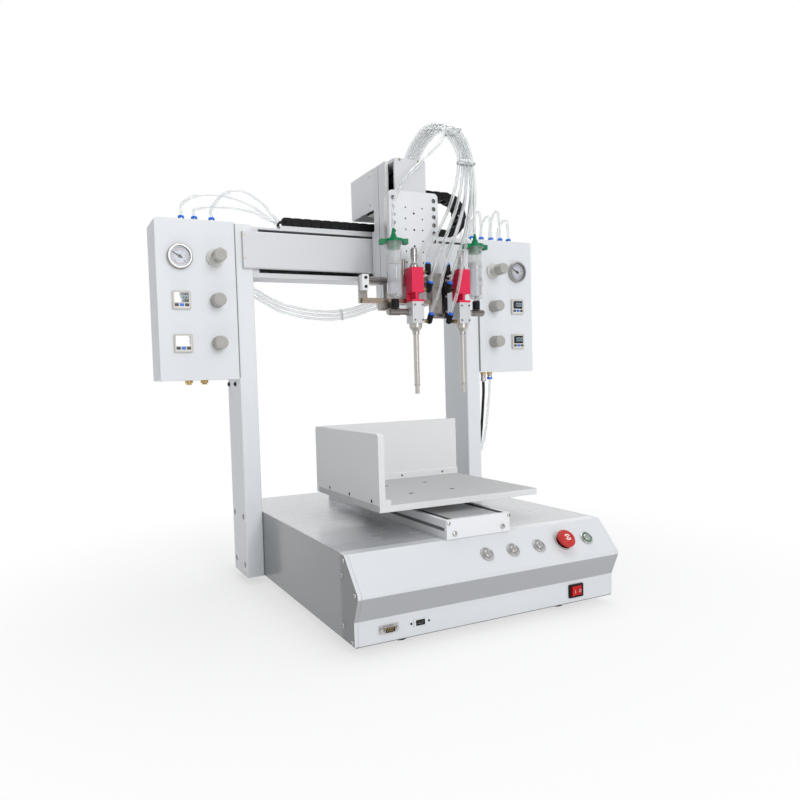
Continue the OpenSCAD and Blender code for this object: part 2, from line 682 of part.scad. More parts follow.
module jig_walls() color("#d2d5d8") {
  top = jig_z + jig_wall_h;
  foot = jig_z + jig_t;
  back = jig_y + jig_d;
  inner = back - jig_t;
  difference() {
    along_x([jig_x, jig_x + jig_t]) polygon(rounded(
      [[jig_y, foot], [inner, foot], [inner, jig_z], [back, jig_z], [back, top], [jig_y, top]],
      [0, 0, 0, 0, 6, 6]
    ));
    for (k = [0:2]) rod_x(6, [jig_x - 1, jig_x + 5], jig_y + 27 + 81 * k, foot + 4.3);
  }
  block([jig_x + jig_t + seam, jig_x + jig_w], [inner, back], [jig_z, top]);
  along_x([jig_x + jig_t + seam, jig_x + jig_w]) translate([inner, foot])
    polygon([[-3, 0], [0, 0], [0, 12], [-1.5, 12], [-3, 10.5]]);
  block([jig_x + jig_t + seam, jig_x + jig_t + 9.5], [jig_y, jig_y + 10], [foot, foot + 7.5]);
}

// Lift axis
module z_housing() color("#dadde1") {
  w = z_housing_w / 2;
  difference() {
    block([head_x - w, head_x + w], [z_front, z_back], [z_housing_z, z_top]);
    block([head_x - z_inner_w / 2, head_x + z_inner_w / 2], [z_front - 1, z_back - 8],
          [z_housing_z + z_cap_t, z_top - z_cap_t]);
    block([head_x - 15, head_x + 15], [z_back - 9, z_back + 1], [z_pulley_z - 3, z_top - z_cap_t]);
    rod_z(8 + 2 * fit, head_x, z_screw_y, [z_housing_z + 2, z_housing_z + z_cap_t + 1]);
  }
  difference() {
    block([head_x - z_inner_w / 2 - 1, head_x + z_inner_w / 2 + 1], [z_front + 8, z_back - 7],
          [z_pulley_z - 13, z_pulley_z - 3]);
    rod_z(z_screw_d + 2 * fit, head_x, z_screw_y, [z_pulley_z - 14, z_pulley_z - 2]);
  }
  for (z = [z_housing_z, z_top - z_cap_t])
    block([head_x - z_inner_w / 2, head_x + z_inner_w / 2], [z_cover_y + z_cover_t, z_front + 1],
          [z, z + z_cap_t]);
  block([head_x - 25, head_x + 5], [z_back, z_back + 9], [z_housing_z + 2, z_housing_z + 24]);
}

module z_cover() color("#f0f2f3") difference() {
  translate([head_x, 0, (z_housing_z + z_top) / 2]) along_y([z_cover_y, z_cover_y + z_cover_t])
    polygon(soft_box(z_inner_w, z_top - z_housing_z, 3));
  for (x = [-22, 22], z = [z_housing_z + z_cap_t / 2, z_top - z_cap_t / 2])
    rod_y(3.4, head_x + x, [z_cover_y - 1, z_cover_y + z_cover_t + 1], z);
}

module z_screw() color("#8d9399") {
  rod_z(z_screw_d, head_x, z_screw_y, [z_housing_z + z_cap_t + run, z_pulley_z]);
  rod_z(8, head_x, z_screw_y, [z_housing_z + 2 + run, z_housing_z + z_cap_t + 1]);
  rod_z(z_pulley_d, head_x, z_screw_y, [z_pulley_z, z_pulley_z + z_pulley_h]);
}

module z_motor() color("#2b2d30") {
  shelf = z_pulley_z - 6;
  block([head_x - 30, head_x + 30], [z_back, z_motor_y + 24], [shelf - 4, shelf]);
  translate([head_x, z_motor_y, 0]) along_z([shelf - 4 - 40, shelf - 3]) motor_outline(z_motor_w);
  rod_z(6, head_x, z_motor_y, [shelf - 1, z_pulley_z + z_pulley_h - 1]);
  rod_z(z_pulley_d, head_x, z_motor_y, [z_pulley_z, z_pulley_z + z_pulley_h - 1]);
  translate([head_x, 0, 0]) along_z([z_pulley_z + 3, z_pulley_z + z_pulley_h - 3]) difference() {
    belt_loop(z_pulley_d + 2 * run + 3);
    belt_loop(z_pulley_d + 2 * run);
  }
}
module belt_loop(d) union() {
  translate([0, z_screw_y]) circle(d = d);
  translate([0, z_motor_y]) circle(d = d);
  translate([-d / 2, z_screw_y]) square([d, z_motor_y - z_screw_y]);
}

module motor_cover() color("#e9ecee") {
  w = z_housing_w / 2;
  difference() {
    block([head_x - w, head_x + w], [z_back, z_back + motor_box_d], [motor_box_z, z_top + 1]);
    block([head_x - w + sheet_t, head_x + w - sheet_t], [z_back - 1, z_back + motor_box_d - sheet_t],
          [motor_box_z - 1, z_top + 1 - sheet_t]);
  }
}

module z_carriage() color("#aeb4ba") {
  inner = z_inner_w / 2 - 1;
  difference() {
    union() {
      block([head_x - inner, head_x + inner], [z_plate_y, z_back - 10], [z_block_top - z_block_h, z_block_top]);
      block([head_x - z_inner_w / 2 - 14, head_x + z_inner_w / 2 + 14], [z_plate_y, z_plate_y + z_plate_t],
            [z_block_top - 93, z_block_top]);
      both_arms() block([z_inner_w / 2 + 3, tool_w / 2 - 2], [tool_back, z_plate_y + 1],
                        [tool_z + 40, z_block_top]);
    }
    rod_z(z_screw_d + 2 * fit, head_x, z_screw_y, [z_block_top - z_block_h - 1, z_block_top + 1]);
  }
}
module both_arms() translate([head_x, 0, 0]) both_sides() children();

// Spray head
module tool_plate() color("#f1f3f4") difference() {
  translate([head_x, 0, tool_z + tool_h / 2]) along_y([tool_y, tool_back])
    polygon(rounded(box_outline(tool_w, tool_h), [2, 2, 8, 8]));
  both_arms() for (k = [0:5]) {
    rod_y(4.5, tool_w / 2 - 9, [tool_y - 1, tool_back + 1], tool_top - 14 - 15 * k);
    rod_y(8, tool_w / 2 - 9, [tool_y - 1, tool_y + 4], tool_top - 14 - 15 * k);
  }
  both_arms() for (k = [0:6]) rod_y(3, 18, [tool_y - 1, tool_y + 6], tool_top - 30 - 20 * k);
  for (k = [0:2]) rod_y(4, head_x, [tool_y - 1, tool_y + 6], tool_top - 40 - 30 * k);
}

module valve_brackets() color("#b9bdc1") {
  rod_x(rod_d, [tool_x - 57, valve_xs[1] + 12], rod_y, rod_z);
  for (x = [tool_x + 12, tool_x + 69]) block([x, x + 14], [rod_y - 7, tool_y], [rod_z - 9, rod_z + 9]);
  for (x = valve_xs) block([x - 9, x + 9], [valve_y + 12.5, rod_y + 5], [rod_z - 9, rod_z + 9]);
  left = tool_x - 57;
  block([left - 10, left + 3], [rod_y - 8, rod_y + 4], [rod_z - 20, rod_z + 8]);
  difference() {
    block([left - 12, left + 46], [rod_y + 4, rod_y + 7], [rod_z - 42, rod_z + 6]);
    block([left + 5, left + 38], [rod_y + 3, rod_y + 8], [rod_z - 32, rod_z - 8]);
  }
  block([left - 8, valve_xs[0] + 46], [rod_y - 4, rod_y + 4.5], [rod_z - 42, rod_z - 33]);
  block([left + 26, left + 56], [rod_y - 6, rod_y + 5], [rod_z - 55, rod_z - 41]);
  // The middle clamp, the joint under it, the second valve's side plate and the first valve's locking pin
  middle = valve_xs[0] + 44;
  block([middle, middle + 20], [rod_y - 10, rod_y + 4.5], [rod_z - 60, rod_z + 14]);
  rod_x(13, [middle + 6, middle + 26], rod_y - 3.5, rod_z - 62);
  block([middle + 27, middle + 34], [rod_y - 8, rod_y + 4], [rod_z - 68, rod_z + 14]);
  rod_z(8, valve_xs[0] - 11.5, rod_y, [rod_z - 9, rod_z + 38]);
}

module valve_bodies() color("#c5c9cc") for (k = [0:1]) translate([valve_xs[k], valve_y, 0]) {
  out = -valve_sides[k];
  difference() {
    union() {
      translate([0, 0, block_z - 38.5]) linear_extrude(38.5) polygon(soft_box(valve_w, valve_w, 1.5));
      translate([0, 0, block_z]) rotate_extrude() polygon([
        [0, -38], [11.5, -38], [11.5, -46.5], [6.5, -52.5], [6.5, -54], [0, -54]
      ]);
      rod_z(nozzle_d, 0, 0, [nozzle_z + 14, block_z - 53]);
      rod_z(nozzle_d - 2, 0, 0, [nozzle_z, nozzle_z + 15]);
      scale([out, 1, 1]) {
        rod_x(11, [valve_w / 2 - 1, syringe_offs[k] - 7], 0, inlet_z);
        rod_x(13, [syringe_offs[k] - 8, syringe_offs[k] + 13], 0, inlet_z);
      }
    }
    rod_z(1.6, 0, 0, [nozzle_z - 1, nozzle_z + 12]);
  }
}

module valve_blocks() color("#c8102e") for (x = valve_xs) translate([x, valve_y, 0]) difference() {
  w = valve_w / 2 + 0.5;
  along_z([block_z, block_top]) polygon(soft_box(2 * w, 2 * w, 1.5));
  block([-w - 1, w - 18], [-w - 1, w - 6], [block_z + 4, block_z + 16]);
  block([w - 13, w + 1], [-w - 1, w - 6], [block_z + 4, block_z + 16]);
  rod_z(8 + 2 * fit, 0, 0, [block_top - 10, block_top + 1]);
}

module stroke_knob(k) color("#d0d3d5") translate([valve_xs[k], valve_y, block_top]) rotate_extrude()
  polygon([
    [0, -8], [4, -8], [4, run], [8, run], [8, 4], [6.5, 8], [5, 10], [5, 16], [6, 17], [6, 34], [5, 36],
    [0, 37]
  ]);

module syringes() color("#e8eef0") for (k = [0:1]) translate([syringe_x(k), valve_y, syringe_z]) {
  r = syringe_d / 2;
  rotate_extrude() polygon([
    [1.5, 0], [4.5, 0], [4.5, 2], [r - 2, 5], [r, 9], [r, 98], [r + 3, 98], [r + 3, 101], [r - 1.3, 101],
    [r - 1.3, 10], [1.5, 5]
  ]);
}

// A cap with two wings that hook under the syringe's rim
module syringe_caps() color("#12a06a") for (k = [0:1]) translate([syringe_x(k), valve_y, syringe_z + 101])
  rotate([0, 0, cap_turns[k]]) {
    r = syringe_d / 2;
    rotate_extrude() polygon([
      [0, -12], [r - 1.7, -12], [r - 1.7, 0], [r + 3, 0], [r + 3, 5], [7, 6.5], [3.5, 16], [3, 20], [2.5, 21],
      [2.5, cap_h - 1], [1.5, cap_h], [0, cap_h]
    ]);
    for (s = [0, 1]) mirror([s, 0, 0]) {
      translate([r, -7, 0]) cube([12, 14, 5]);
      translate([r + 3.3, -7, -4]) cube([8.7, 14, 5]);
    }
  }

// Each elbow: how far it lies below the red block's upper face, how far its base lies out of the valve's
// middle and how far its outlet leans forwards
elbow_rows = [[6, valve_w / 2 + 0.5, 0], [38, valve_w / 2 + 0.5, 30], [95, valve_w / 2, 30]];
elbow_out = valve_w / 2 + 17;
elbow_h = 17;
module valve_fittings() color("#1b1d20") for (k = [0:1]) {
  for (e = elbow_rows) translate([valve_xs[k], valve_y, block_top - e[0]]) scale([valve_sides[k], 1, 1])
    translate([e[1], 0, 0]) rotate([e[2], 0, 0]) elbow(11, elbow_out - e[1], elbow_h);
  rod_z(14, syringe_x(k), valve_y, [inlet_z + 7, syringe_z]);
}

// Drag chain
module ear(y, x) for (s = [-1, 1]) translate([0, s * y - ear_t / 2, 0]) rotate([-90, 0, 0])
  linear_extrude(ear_t) union() {
    circle(d = link_h);
    translate([min(0, x), -link_h / 2]) square([abs(x), link_h]);
  }
outer_ear_y = chain_w / 2 - ear_t / 2;
inner_ear_y = outer_ear_y - ear_t - ear_gap;
// A link from its pivot at the origin to the next pivot, one pitch along +X
module chain_link() {
  mid = link_pitch / 2;
  difference() {
    ear(outer_ear_y, mid + 1.5);
    rod_y(link_pin_d + 2 * fit, 0, [-chain_w, chain_w], 0);
  }
  translate([link_pitch, 0, 0]) ear(inner_ear_y, -mid - 1.5 + 0.001);
  for (s = [-1, 1]) {
    translate([mid - 1.5, s * (outer_ear_y - ear_t / 2) - 0.2, -link_h / 2]) cube([3, 0.4, link_h]);
    translate([link_pitch, s * (outer_ear_y - 0.2) - ear_t / 2, 0]) rotate([-90, 0, 0])
      cylinder(d = link_pin_d, h = ear_t + 0.4);
    translate([mid - 3, -inner_ear_y, s * (link_h / 2 - 1) - 1]) cube([6, 2 * inner_ear_y, 2]);
  }
}

module chain_lower_run() color("#17181a") translate([0, chain_y, chain_z]) {
  for (k = [1:lower_links]) translate([bend_x - k * link_pitch, 0, 0]) chain_link();
}

module chain_bend() color("#17181a") translate([bend_x, chain_y, chain_z + bend_r])
  for (k = [0:bend_links - 1]) rotate([0, -k * bend_step, 0]) translate([0, 0, -bend_r])
    rotate([0, -bend_step / 2, 0]) chain_link();

module chain_upper_run() color("#17181a") {
  translate([0, chain_y, chain_top_z]) for (k = [0:upper_links - 1])
    translate([bend_x - k * link_pitch, 0, 0]) rotate([0, 180, 0]) chain_link();
  // The bracket on the motor cover, with the clamp plate over the first link
  side = head_x + z_housing_w / 2;
  clamp_z = chain_top_z + link_h / 2 + run;
  block([side, chain_head_x - link_h / 2 - run], [chain_y - chain_w / 2, chain_y + chain_w / 2],
        [chain_top_z - link_h / 2, clamp_z + 1]);
  block([side, clamp_x + 16], [chain_y - chain_w / 2, chain_y + chain_w / 2], [clamp_z, clamp_z + 6]);
}

// Controls on the base
module bezel() difference() {
  union() {
    rotate_extrude() polygon([
      [0, 0], [bezel_d / 2, 0], [bezel_d / 2, 1.2], [bezel_d / 2 - 1.2, 2.4], [0, 2.4]
    ]);
    translate([0, 0, -22]) cylinder(d = button_d + 3.6, h = 23);
  }
  translate([0, 0, -12]) cylinder(d = button_d + 2 * fit, h = 20);
}
module panel_bezels() color("#c4c8cb") {
  for (x = button_xs) on_panel(x) bezel();
  on_panel(start_x) bezel();
  on_panel(estop_x) difference() {
    union() {
      cylinder(d1 = 28, d2 = 26.5, h = 2.4);
      translate([0, 0, -30]) cylinder(d = 21.6, h = 31);
    }
    translate([0, 0, -18]) cylinder(d = 14 + 2 * fit, h = 30);
  }
  on_front(rocker_x, panel_row_z) difference() {
    union() {
      linear_extrude(2) polygon(soft_box(rocker_w, rocker_h, 1.5));
      translate([0, 0, -20]) linear_extrude(21) square([rocker_w - 3.4, rocker_h - 3.4], center = true);
    }
    translate([0, 0, -6]) linear_extrude(12) square([rocker_w - 7, rocker_h - 6], center = true);
    translate([0, 0, -2]) rotate([90, 0, 0]) cylinder(d = 2.6 + 2 * fit, h = rocker_h - 4.2, center = true);
  }
}

module push_button(x) color("#d3d6d8") on_panel(x) rotate_extrude() polygon([
  [0, -9], [button_d / 2, -9], [button_d / 2, 3], [button_d / 2 - 1, 4], [0, 4]
]);
module estop_stem() color("#8a8e92") on_panel(estop_x) {
  translate([0, 0, -12]) cylinder(d = 14, h = 18.7);
  cylinder(d = 9.8, h = 11.4);
}
module estop_head() color("#cf2a2a") on_panel(estop_x) difference() {
  rotate_extrude() polygon(estop_profile);
  translate([0, 0, 6]) cylinder(d = 10, h = 5.8);
}
// The key is tilted about its upright pins, with its right half pressed in
module rocker_key() color("#c81e1e") on_front(rocker_x, panel_row_z) translate([0, 0, -2]) rotate([0, 7, 0]) {
  w = rocker_w - 8.6;
  h = rocker_h - 6.6;
  rotate([90, 0, 0]) linear_extrude(h, center = true)
    polygon([[-w / 2, 1.5], [-3, -1.6], [3, -1.6], [w / 2, 1.5], [w / 2, 5.4], [0, 4.2], [-w / 2, 5.4]]);
  rotate([90, 0, 0]) cylinder(d = 2.6, h = h + 1.6, center = true);
}

module sockets() color("#6f757b") {
  on_front(serial_x, panel_row_z) {
    difference() {
      union() {
        linear_extrude(1.2) polygon(soft_box(30, 12, 1.5));
        linear_extrude(5.5) polygon(rounded([[-7.6, -4], [7.6, -4], [8.6, 4], [-8.6, 4]], [1, 1, 1, 1]));
        translate([0, 0, -10]) linear_extrude(11) square([17, 8.4], center = true);
      }
      translate([0, 0, 1.2]) linear_extrude(6)
        polygon(rounded([[-7, -3.4], [7, -3.4], [8, 3.4], [-8, 3.4]], [1, 1, 1, 1]));
    }
    for (s = [-1, 1]) translate([s * 12.5, 0, 0]) cylinder(d = 5, h = 4, $fn = 6);
  }
  on_front(pendant_x, panel_row_z) difference() {
    union() {
      linear_extrude(1) polygon(soft_box(22, 10, 1));
      translate([0, 0, -10]) linear_extrude(10.5) square([13.6, 7.6], center = true);
    }
    translate([0, 0, -6]) linear_extrude(8) square([11.5, 5], center = true);
  }
  translate([150, base_d, 45]) rotate([-90, 0, 0]) difference() {
    union() {
      linear_extrude(inlet_proud) polygon(soft_box(48, 28, 3));
      translate([0, 0, -20]) linear_extrude(21) square([26, 23], center = true);
    }
    translate([0, 0, -14]) linear_extrude(20) polygon(soft_box(24, 16, 2));
  }
  rod_x(14, [half_w, half_w + 10], 506, 62);
  rod_x(12, [half_w, half_w + 10], 520, 90);
}

module electronics() color("#8f979d") {
  difference() {
    block([-185, -75], [300, 500], [sheet_t, 52]);
    for (k = [0:11]) block([-170 + 7.5 * k, -167 + 7.5 * k], [320, 480], [50, 53]);
  }
  block([30, 190], [270, 470], [sheet_t + 8, sheet_t + 10]);
  for (x = [40, 180], y = [280, 460]) rod_z(6, x, y, [sheet_t, sheet_t + 9]);
  for (k = [0:2]) block([45 + 48 * k, 81 + 48 * k], [300, 380], [sheet_t + 9, sheet_t + 34]);
  block([60, 160], [400, 440], [sheet_t + 9, sheet_t + 20]);
}

// Hoses: a round tube swept along a smooth line through chosen points
function smooth(a, b, c, d, t) =
  0.5 * (2 * b + (c - a) * t + (2 * a - 5 * b + 4 * c - d) * t * t + (3 * b - a - 3 * c + d) * t * t * t);
function route(p, n) = [
  for (i = [0:len(p) - 2], k = [0:n - 1])
    smooth(p[max(i - 1, 0)], p[i], p[i + 1], p[min(i + 2, len(p) - 1)], k / n),
  p[len(p) - 1]
];
function heading(p, i) = unit(p[min(i + 1, len(p) - 1)] - p[max(i - 1, 0)]);
function frames(p, i = 0, last = [0.3, 0.9, 0.3]) =
  i == len(p) ? [] : let (t = heading(p, i), u = unit(last - t * (last * t)))
    concat([[u, cross(t, u)]], frames(p, i + 1, u));
module hose(points, d, n = 2, sides = 8) {
  p = route(points, n);
  f = frames(p);
  ring = [for (k = [0:sides - 1]) [cos(360 * k / sides), sin(360 * k / sides)] * d / 2];
  polyhedron(
    [for (i = [0:len(p) - 1], r = ring) p[i] + f[i][0] * r.x + f[i][1] * r.y],
    concat(
      [[for (k = [0:sides - 1]) k]],
      [for (i = [0:len(p) - 2], k = [0:sides - 1])
        [i * sides + k, (i + 1) * sides + k, (i + 1) * sides + (k + 1) % sides, i * sides + (k + 1) % sides]],
      [[for (k = [sides - 1:-1:0]) (len(p) - 1) * sides + k]]
    )
  );
}

hose_d = 6;
hose_gap = 0.6;
hose_z = box_top + fitting_h + hose_gap;
left_hoses = [
  [[-348, 446, hose_z], [-344, 446, 690], [-318, 444, 705], [-272, 440, 708], [-226, 434, 696],
   [-193, 430, 675], [-173, 428, chain_z]],
  [[-324, 446, hose_z], [-323, 446.5, 680], [-292, 455, 689], [-250, 445, 688], [-215, 427, 677.5],
   [-190, 420.5, 666], [-173, 420, chain_z]],
  [[-292, 446, hose_z], [-290.5, 445, 686], [-270, 429, 709], [-238, 421, 714], [-205, 414, 695],
   [-186, 412, 673], [-173, 412, chain_z]]
];
right_peaks = [716, 728, 720, 732, 715];
outlet_leads = [
  [[289, 418, box_z - 20 - hose_gap], [290, 421, 310], [289, 436, 210], [286, 466, 130], [277, 496, 80], [258, 505, 63],
   [half_w + 10, 506, 62]],
  [[306, 418, box_z - 16 - hose_gap], [306.5, 423, 310], [304, 442, 215], [298, 482, 146], [282, 514, 104], [260, 520, 91],
   [half_w + 10, 520, 90]]
];
module box_hoses() color("#dfe5e6") {
  for (p = left_hoses) hose(p, hose_d);
  for (k = [0:4]) {
    x = right_hose_xs[k];
    hose([[x, fitting_y, hose_z], [x, fitting_y + 1, hose_z + 24], [x + 3, fitting_y + 10, right_peaks[k] - 4],
          [x + 4, fitting_y + 26, right_peaks[k] - 3], [x + 2, fitting_y + 41, hose_z + 24],
          [x, fitting_y + 43, back_fitting_z + 40], [x, fitting_y + 43, back_fitting_z + 16 + hose_gap]], hose_d);
  }
  for (p = outlet_leads) hose(p, hose_d);
}

// The hoses from the clamp over the chain to the spray head: a front and a rear row of four, then the way
// that each of them takes to its own valve
clamp_x = head_x + z_housing_w / 2 + 17;
clamp_top = chain_top_z + link_h / 2 + run + 6.2;
lanes = [-12, -4, 4, 12];
front_row = [
  [clamp_x, 418, clamp_top], [clamp_x, 418, 766], [108, 408, 793], [113, 375, 828], [122, 335, 846],
  [135, 300, 838], [146, 276, 805], [151, 264, 760]
];
rear_row = [
  [clamp_x, 410, clamp_top], [clamp_x, 410, 766], [108, 401, 788], [113, 371, 820], [122, 335, 837],
  [135, 305, 829], [146, 283, 800], [151, 272, 760]
];
function in_lane(row, k, n) = [for (i = [0:n - 1]) [row[i].x + lanes[k], row[i].y, row[i].z]];
function outlet(v, e) = let (l = elbow_rows[e][2], h = elbow_h + hose_gap)
  [valve_xs[v] + valve_sides[v] * elbow_out, valve_y - h * sin(l), block_top - elbow_rows[e][0] + h * cos(l)];
function cap_top(v) = [syringe_x(v), valve_y, syringe_z + 101 + cap_h + hose_gap];
head_lines = [
  concat(in_lane(front_row, 0, 6), [[113, 281, 814], [88, 266, 784], [52, 261, 752], [14, 260, 714],
         [-8, 260, 676], [-12.5, 259, 646], cap_top(0)]),
  concat(in_lane(front_row, 1, 8), [[136, 250, 690], [108, 242, 620], [80, 236, 560], [63, 233, 512],
         [57.5, 242, 492], outlet(0, 2)]),
  concat(in_lane(front_row, 2, 8), [[150, 250, 690], [134, 242, 620], [116, 236, 560], [103, 234, 512],
         [99.5, 242, 492], outlet(1, 2)]),
  concat(in_lane(front_row, 3, 8), [[165, 261, 705], [161.5, 259, 658], cap_top(1)]),
  concat(in_lane(rear_row, 0, 8), [[118, 266, 690], [84, 261, 630], [60, 259, 595], outlet(0, 0)]),
  concat(in_lane(rear_row, 1, 8), [[130, 262, 690], [98, 254, 625], [68, 244, 572], [57.5, 243, 548],
         outlet(0, 1)]),
  concat(in_lane(rear_row, 2, 8), [[146, 266, 690], [124, 262, 630], [102, 259, 595], outlet(1, 0)]),
  concat(in_lane(rear_row, 3, 8), [[156, 262, 690], [136, 254, 625], [110, 244, 572], [99.5, 243, 548],
         outlet(1, 1)])
];
back_drop = back_fitting_z - 14 - hose_gap;
back_out = box_back + 14;
lower_lines = [for (k = [0:2]) [
  [-left_back_xs[k], back_out, back_drop], [-left_back_xs[k], back_out, back_drop - 12 - 9 * k],
  [-262 - 4 * k, back_out + 7, 560 - 9 * k], [-212, 484, 548 - 8 * k], [-160, 463, 516 - 8 * k],
  [-104, 444 + k, 500 - 7.5 * k], [-56, 424 + k, 496 - 7.2 * k], [-22, 402 + k, 502 - 7.2 * k],
  [2, 384 + k / 2, 512 - 7.4 * k], [head_x - 26.1, z_back + 4.5, z_housing_z + 20.5 - 7.5 * k]
]];
module head_hoses() color("#e3e8e8") {
  for (p = head_lines) hose(p, hose_d);
  for (p = lower_lines) hose(p, hose_d, 1);
}

// One line per separate piece, each drawn at its place in the whole machine
seat() base_shell();
seat() side_panels();
seat() bottom_plate();
seat() rubber_feet();
seat() columns();
seat() control_boxes();
seat() box_back_covers();
seat() gauges();
seat() pressure_switches();
seat() regulators();
seat() box_fittings();
seat() x_beam();
seat() axis_covers();
seat() guide_rails();
seat() axis_motors();
seat() y_housing();
seat() electronics();
seat() panel_bezels();
seat() sockets();
seat() chain_lower_run();
seat() box_hoses();
seat() x_carriage();
seat() z_housing();
seat() z_cover();
seat() z_motor();
seat() motor_cover();
seat() chain_upper_run();
seat() head_hoses();
seat() z_carriage();
seat() tool_plate();
seat() valve_brackets();
seat() valve_bodies();
seat() valve_blocks();
seat() syringes();
seat() syringe_caps();
seat() valve_fittings();
seat() x_screw();
seat() y_screw();
seat() z_screw();
seat() chain_bend();
seat() y_carriage();
seat() jig_plate();
seat() jig_walls();
seat() push_button(button_xs[0]);  // push_button_1
seat() push_button(button_xs[1]);  // push_button_2
seat() push_button(button_xs[2]);  // push_button_3
seat() push_button(start_x);  // start_button
seat() estop_stem();
seat() estop_head();
seat() rocker_key();
seat() knob(-1, 0);  // knob_left_top
seat() knob(-1, 1);  // knob_left_mid
seat() knob(-1, 2);  // knob_left_low
seat() knob(1, 0);  // knob_right_top
seat() knob(1, 1);  // knob_right_mid
seat() knob(1, 2);  // knob_right_low
seat() needle(-1, -60);  // needle_left
seat() needle(1, -60);  // needle_right
seat() stroke_knob(0);  // stroke_knob_1
seat() stroke_knob(1);  // stroke_knob_2
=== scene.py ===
import json
import math
from functools import cache

import bmesh
import bpy
from bpy.props import FloatProperty, FloatVectorProperty, IntProperty, PointerProperty
from mathutils import Matrix, Vector
from mathutils.geometry import delaunay_2d_cdt


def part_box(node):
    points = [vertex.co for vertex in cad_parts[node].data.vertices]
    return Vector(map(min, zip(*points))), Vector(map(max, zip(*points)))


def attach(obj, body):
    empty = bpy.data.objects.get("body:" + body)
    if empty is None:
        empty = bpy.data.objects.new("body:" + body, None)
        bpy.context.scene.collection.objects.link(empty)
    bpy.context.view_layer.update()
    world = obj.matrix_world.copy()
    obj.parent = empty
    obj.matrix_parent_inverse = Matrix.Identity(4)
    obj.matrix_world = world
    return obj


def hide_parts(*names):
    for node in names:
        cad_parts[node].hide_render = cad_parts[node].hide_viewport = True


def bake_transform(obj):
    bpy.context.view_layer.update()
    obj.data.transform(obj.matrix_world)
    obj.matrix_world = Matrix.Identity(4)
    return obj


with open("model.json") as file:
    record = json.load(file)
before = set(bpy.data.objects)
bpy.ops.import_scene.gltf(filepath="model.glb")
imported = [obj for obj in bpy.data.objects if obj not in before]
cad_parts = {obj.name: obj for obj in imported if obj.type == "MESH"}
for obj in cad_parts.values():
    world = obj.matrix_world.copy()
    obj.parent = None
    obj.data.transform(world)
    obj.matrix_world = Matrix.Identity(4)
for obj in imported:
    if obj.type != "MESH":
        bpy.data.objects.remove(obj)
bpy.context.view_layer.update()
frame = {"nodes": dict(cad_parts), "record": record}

bl_info = {
    "name": "Conformal coating machine",
    "version": (1, 0, 0),
    "blender": (4, 5, 0),
    "location": "View3D > Sidebar > Coating machine",
    "description": "Dresses the packed coating machine in its finishes, hoses, drag chain and small parts",
    "category": "Object",
}

MM = 0.001
# The drawing counts y from the cabinet's lower front edge and z from its underside, and in it the cross
# beam begins at y 397 and z 553
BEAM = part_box("x_beam")[0]
SHIFT = Vector((0.0, BEAM.y - 397 * MM, BEAM.z - 553 * MM))


def at(x, y, z):
    """A point of the construction drawing, in millimetres, as a place in the frame, in metres."""
    return Vector((x * MM, y * MM, z * MM)) + SHIFT


# The drawing's millimetres in the frame, and the body of every node
DRAWING = Matrix.Translation(SHIFT) @ Matrix.Scale(MM, 4)
BODIES = {node: body for body, nodes in frame["record"]["behaviour"]["bodies"].items() for node in nodes}


# Settings


def colour(name, text, value):
    """A colour that the user may change."""
    return FloatVectorProperty(name=name, description=text, default=value, subtype="COLOR", min=0, max=1)


def length(name, text, value):
    """A length that the user may change, in metres."""
    return FloatProperty(name=name, description=text, default=value, min=0, unit="LENGTH", precision=5)


def power(name, text, value):
    """The power of a light that the user may change."""
    return FloatProperty(name=name, description=text, default=value, min=0, unit="POWER")


class COATING_PG_colours(bpy.types.PropertyGroup):
    """The colours of the machine's paints, plastics and anodised parts."""

    paint: colour("Paint", "Light grey powder coat of the cabinet, columns and boxes", (0.78, 0.80, 0.83))
    panel: colour("Side panels", "Glossy grey of the cabinet's side sheets", (0.21, 0.225, 0.235))
    cover: colour("Covers", "Pale grey of the axis covers and housings", (0.68, 0.69, 0.71))
    fixture: colour("Fixture", "Matt grey of the fixture plate and walls", (0.51, 0.515, 0.515))
    beige: colour("Knobs", "Warm grey plastic of the regulator knobs", (0.46, 0.45, 0.42))
    switch_frame: colour("Switch frames", "Beige plastic of the pressure switches", (0.57, 0.55, 0.51))
    crimson: colour("Valve blocks", "Crimson of the spray valves' upper bodies", (0.74, 0.02, 0.08))
    red: colour("Emergency stop", "Red of the emergency stop's head", (0.66, 0.035, 0.03))
    green: colour("Syringe caps", "Green of the syringe caps", (0.0, 0.27, 0.10))
    blue: colour("Fitting rings", "Blue of the release rings on the fittings", (0.01, 0.17, 0.78))
    black: colour("Black plastic", "Black of the chain, feet and fittings", (0.008, 0.008, 0.009))
    steel: colour("Steel", "Turned and brushed steel", (0.50, 0.49, 0.48))
    brass: colour("Brass", "Brass nipples, contacts and pins", (0.62, 0.43, 0.18))


class COATING_PG_sizes(bpy.types.PropertyGroup):
    """The sizes that the visual pieces add to the construction."""

    edge: length("Edge radius", "Radius that the sharp edges of sheet and plate get", 0.0007)
    hose: length("Hose diameter", "Outer diameter of the air hoses", 0.006)
    ticks: IntProperty(name="Dial ticks", description="Number of small ticks on a gauge dial",
                       default=50, min=10)


class COATING_PG_stage(bpy.types.PropertyGroup):
    """The floor, the light and the lens."""

    floor: colour("Floor", "Colour of the floor", (0.90, 0.90, 0.90))
    key: power("Key light", "Power of the main light", 27.0)
    fill: power("Fill light", "Power of the front light", 6.0)
    top: power("Top light", "Power of the light overhead", 20.0)
    world: FloatProperty(name="World", description="Strength of the surrounding light", default=0.75, min=0)
    lens: FloatProperty(name="Lens", description="Focal length", default=30.47, min=1, unit="CAMERA")


# Shader maths


def operation(kind, swapped=False):
    """An operator of Value, which adds a Math node."""
    return lambda a, b: a.math(kind, *((b, a) if swapped else (a, b)))


